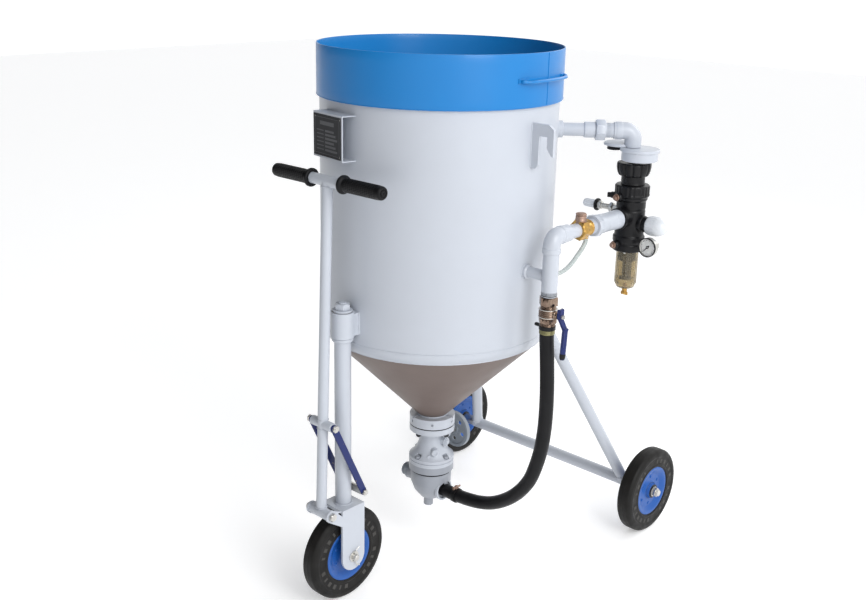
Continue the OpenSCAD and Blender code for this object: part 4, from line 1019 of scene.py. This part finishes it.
def hopper():
    """Thin rolled ring on the tank top, its lap weld and its bent rod handle."""
    inner, reach, rod = RING_R - 3, RING_R + 15, 4
    azimuth, spread = radians(8), radians(17)
    z = (RING_LOW + RING_HIGH) / 2

    def rolled(a, r, height):
        return 0.5 * noise.noise(polar(a, 1.6, height / 180))

    def on_ring(r, a, height=0.0):
        return polar(azimuth + a, r, z + height)

    p = Piece("hopper_ring_sheet", BLUE)
    wall = line((RING_R, RING_LOW), (RING_R, RING_HIGH), 6)
    back = line((inner, RING_HIGH), (inner, TANK_TOP + 4), 6)
    p.lathe(eased([(TANK_R, RING_LOW)] + wall + back + [(TANK_R - 2, TANK_TOP)], 1.0, True),
            segments=192, closed=True, wave=rolled)
    p.bead(line(polar(azimuth, RING_R, RING_LOW + 2), polar(azimuth, RING_R, RING_HIGH - 2), 60), 1.7, seed=5)
    p.bead(level_circle(RING_R, RING_LOW + 0.6), 1.3, True, 9)
    ends = [[on_ring(RING_R - 1, side * (spread + 0.022)), on_ring(RING_R + 8, side * (spread + 0.018)),
             on_ring(reach - 6, side * (spread - 0.012), -1), on_ring(reach, side * (spread - 0.06), -1)]
            for side in (-1, 1)]
    run = [on_ring(reach, spread * s, -1) for s in (-0.6, -0.3, 0, 0.3, 0.6)]
    p.tube(smooth_path(ends[0] + run + ends[1][::-1], 6), rod, 20)
    for side in (-1, 1):
        out = polar(azimuth + side * spread, 1)
        p.block((-6, -15, -1), (6, 15, 2.5), 1, frame_to(on_ring(RING_R, side * spread), out, pi / 2))
    p.done("hopper_ring", "blue_paint")


def wheel(name, centre):
    """Solid rubber tyre with raised sidewall marks on a pressed two-disc rim."""
    half, outer, rim_r = 24, 125, 72
    p = Piece(name + "_tyre_rubber", TYRE)
    wall = ((0, 5), (3, 1.5), (8, 0.6), (10, 1.8), (31, 1.2), (33, 0.2), (37, 0), (44, 1.5), (48.5, 4),
            (52, 8), (53, 11))
    right = [(rim_r + r, half - z) for r, z in wall] + [(outer, 0.8), (outer + 0.4, 0)]
    profile = [(r, -z) for r, z in right] + [(r, z) for r, z in right[::-1]][1:]
    p.lathe(eased(profile, 1.2, False, 2), frame_to(centre, X), 144)
    p.use(TYRE_MARK)
    for sign in (-1, 1):
        for mark in range(26):
            if mark % 13 in (0, 7, 8):
                continue
            a = tau * mark / 26
            wide = 5.5 if mark % 3 else 3.2
            out = Y * cos(a) + Z * sin(a)
            middle = centre + X * sign * (half - 2.2) + out * (rim_r + 20)
            turn = frame_to(middle, X * sign)
            local = turn.inverted() @ (middle + out)
            spin = Matrix.Rotation(atan2(local.y, local.x), 4, "Z")
            p.block((-6, -wide, 0), (6, wide, 1.4), 0.6, turn @ spin)
    p.done(name + "_tyre", "tyre_rubber")
    bore = 8.08 if name == "front" else 10.08
    p = Piece(name + "_rim_pressing", RIM_BLUE)
    disc = [(r, half - z) for r, z in (
        (bore, 0), (19, 0), (21, 1), (23.5, 9), (30, 12), (50, 12.5), (57, 8), (63, 4), (68, 2.5),
        (rim_r + 1.5, 3), (rim_r + 1.5, 7), (rim_r - 2, 8))]
    p.turned(disc + [(r, -z) for r, z in disc[::-1]], centre, X, 2.0, 96, True)
    for sign in (-1, 1):
        for k in range(6):
            a = tau * k / 6 + 0.5
            at = centre + X * sign * (half - 12.4) + (Y * cos(a) + Z * sin(a)) * 42
            p.lathe([(4.5, 0), (4.2, 1.2), (2.8, 2.2), (0, 2.5)], frame_to(at, X * sign), 24)
        p.use(BLACK_PLASTIC).ring(20.5, bore + 0.2, 1.3, centre + X * sign * (half - 0.6), X * sign, 0.4, 48)
        p.turned([(20.8, half - 8), (23.4, half - 8.6), (25, half - 9.2), (20.8, half - 9.2)],
                 centre, X * sign, 0.2, 48, True)
        p.use(RIM_BLUE)
    p.done(name + "_rim", "blue_paint")


def floor():
    mesh = bpy.data.meshes.new("floor")
    size = 14
    corners = [(-size, -size, 0), (size, -size, 0), (size, size, 0), (-size, size, 0)]
    mesh.from_pydata(corners, [], [(0, 1, 2, 3)])
    s = Shader("pale_floor", (0.90, 0.90, 0.905), 0.7, Emission_Color=(1, 1, 1, 1), Emission_Strength=0.3)
    s.tint((0.87, 0.87, 0.875), 3, 5, 0.4, 0.8, 0.3)
    s.bump(160, 3, 0.0002, 0.3)
    mesh.materials.append(s.material)
    shown("floor", mesh)


def softbox(name, location, target, width, height, power):
    data = bpy.data.lights.new(name, "AREA")
    data.shape = "RECTANGLE"
    data.size, data.size_y, data.energy = width, height, power
    lamp = shown(name, data)
    lamp.location = location
    lamp.rotation_euler = (Vector(target) - Vector(location)).to_track_quat("-Z", "Y").to_euler()


def studio():
    """White surroundings, darker to the left of the viewpoint, with soft lamps."""
    scene = bpy.context.scene
    scene.view_settings.view_transform = "Standard"
    world = bpy.data.worlds.new("studio")
    scene.world = world
    world.use_nodes = True
    tree = world.node_tree
    toward = tree.nodes.new("ShaderNodeVectorMath")
    toward.operation = "DOT_PRODUCT"
    toward.inputs[1].default_value = (-0.66, -0.60, 0.45)
    tree.links.new(add_node(tree, "TexCoord", {}, "Generated"), toward.inputs[0])
    shade = add_node(tree, "MapRange", {"Value": toward.outputs["Value"], "From Min": 0.35, "From Max": 0.72,
                                        "To Min": 1.12, "To Max": 0.05}, "Result")
    background = tree.nodes["Background"]
    background.inputs["Color"].default_value = (0.985, 0.992, 1.0, 1)
    tree.links.new(shade, background.inputs["Strength"])
    softbox("key", (3.2, -0.9, 2.6), (0, 0, 0.8), 1.6, 2.4, 70)
    softbox("back_rim", (0.6, 3.2, 2.8), (0, 0, 0.9), 3.0, 1.6, 30)


def camera():
    """The viewpoint: above the right-hand front corner, tilted a little, looking down on the rim."""
    eye = TANK_AXIS + Vector((1.86565, -2.01890, 1.62622))
    forward = Vector((-0.64730, 0.69785, -0.30661))
    roll = radians(1.283)
    data = bpy.data.cameras.new("view")
    data.sensor_width = 36
    data.lens = 45.23
    made = shown("view", data)
    turn = forward.to_track_quat("-Z", "Y").to_matrix().to_4x4()
    made.matrix_world = shift(eye) @ turn @ Matrix.Rotation(roll, 4, "Z")
    bpy.context.scene.camera = made


for build in (camera, hoses, floor, studio, tank, hopper, ball_valve, drop_line, check_valve, regulator,
              bleeder, gauge, exhaust, stack_fittings, handle, caster, chassis, plate_details):
    build()
for name, centre in WHEELS.items():
    wheel(name, centre)
for material, names in REFINED.items():
    for node in names:
        refined(node, material)
for material, node in CAST.items():
    refined(node, material, 2.2, 4)
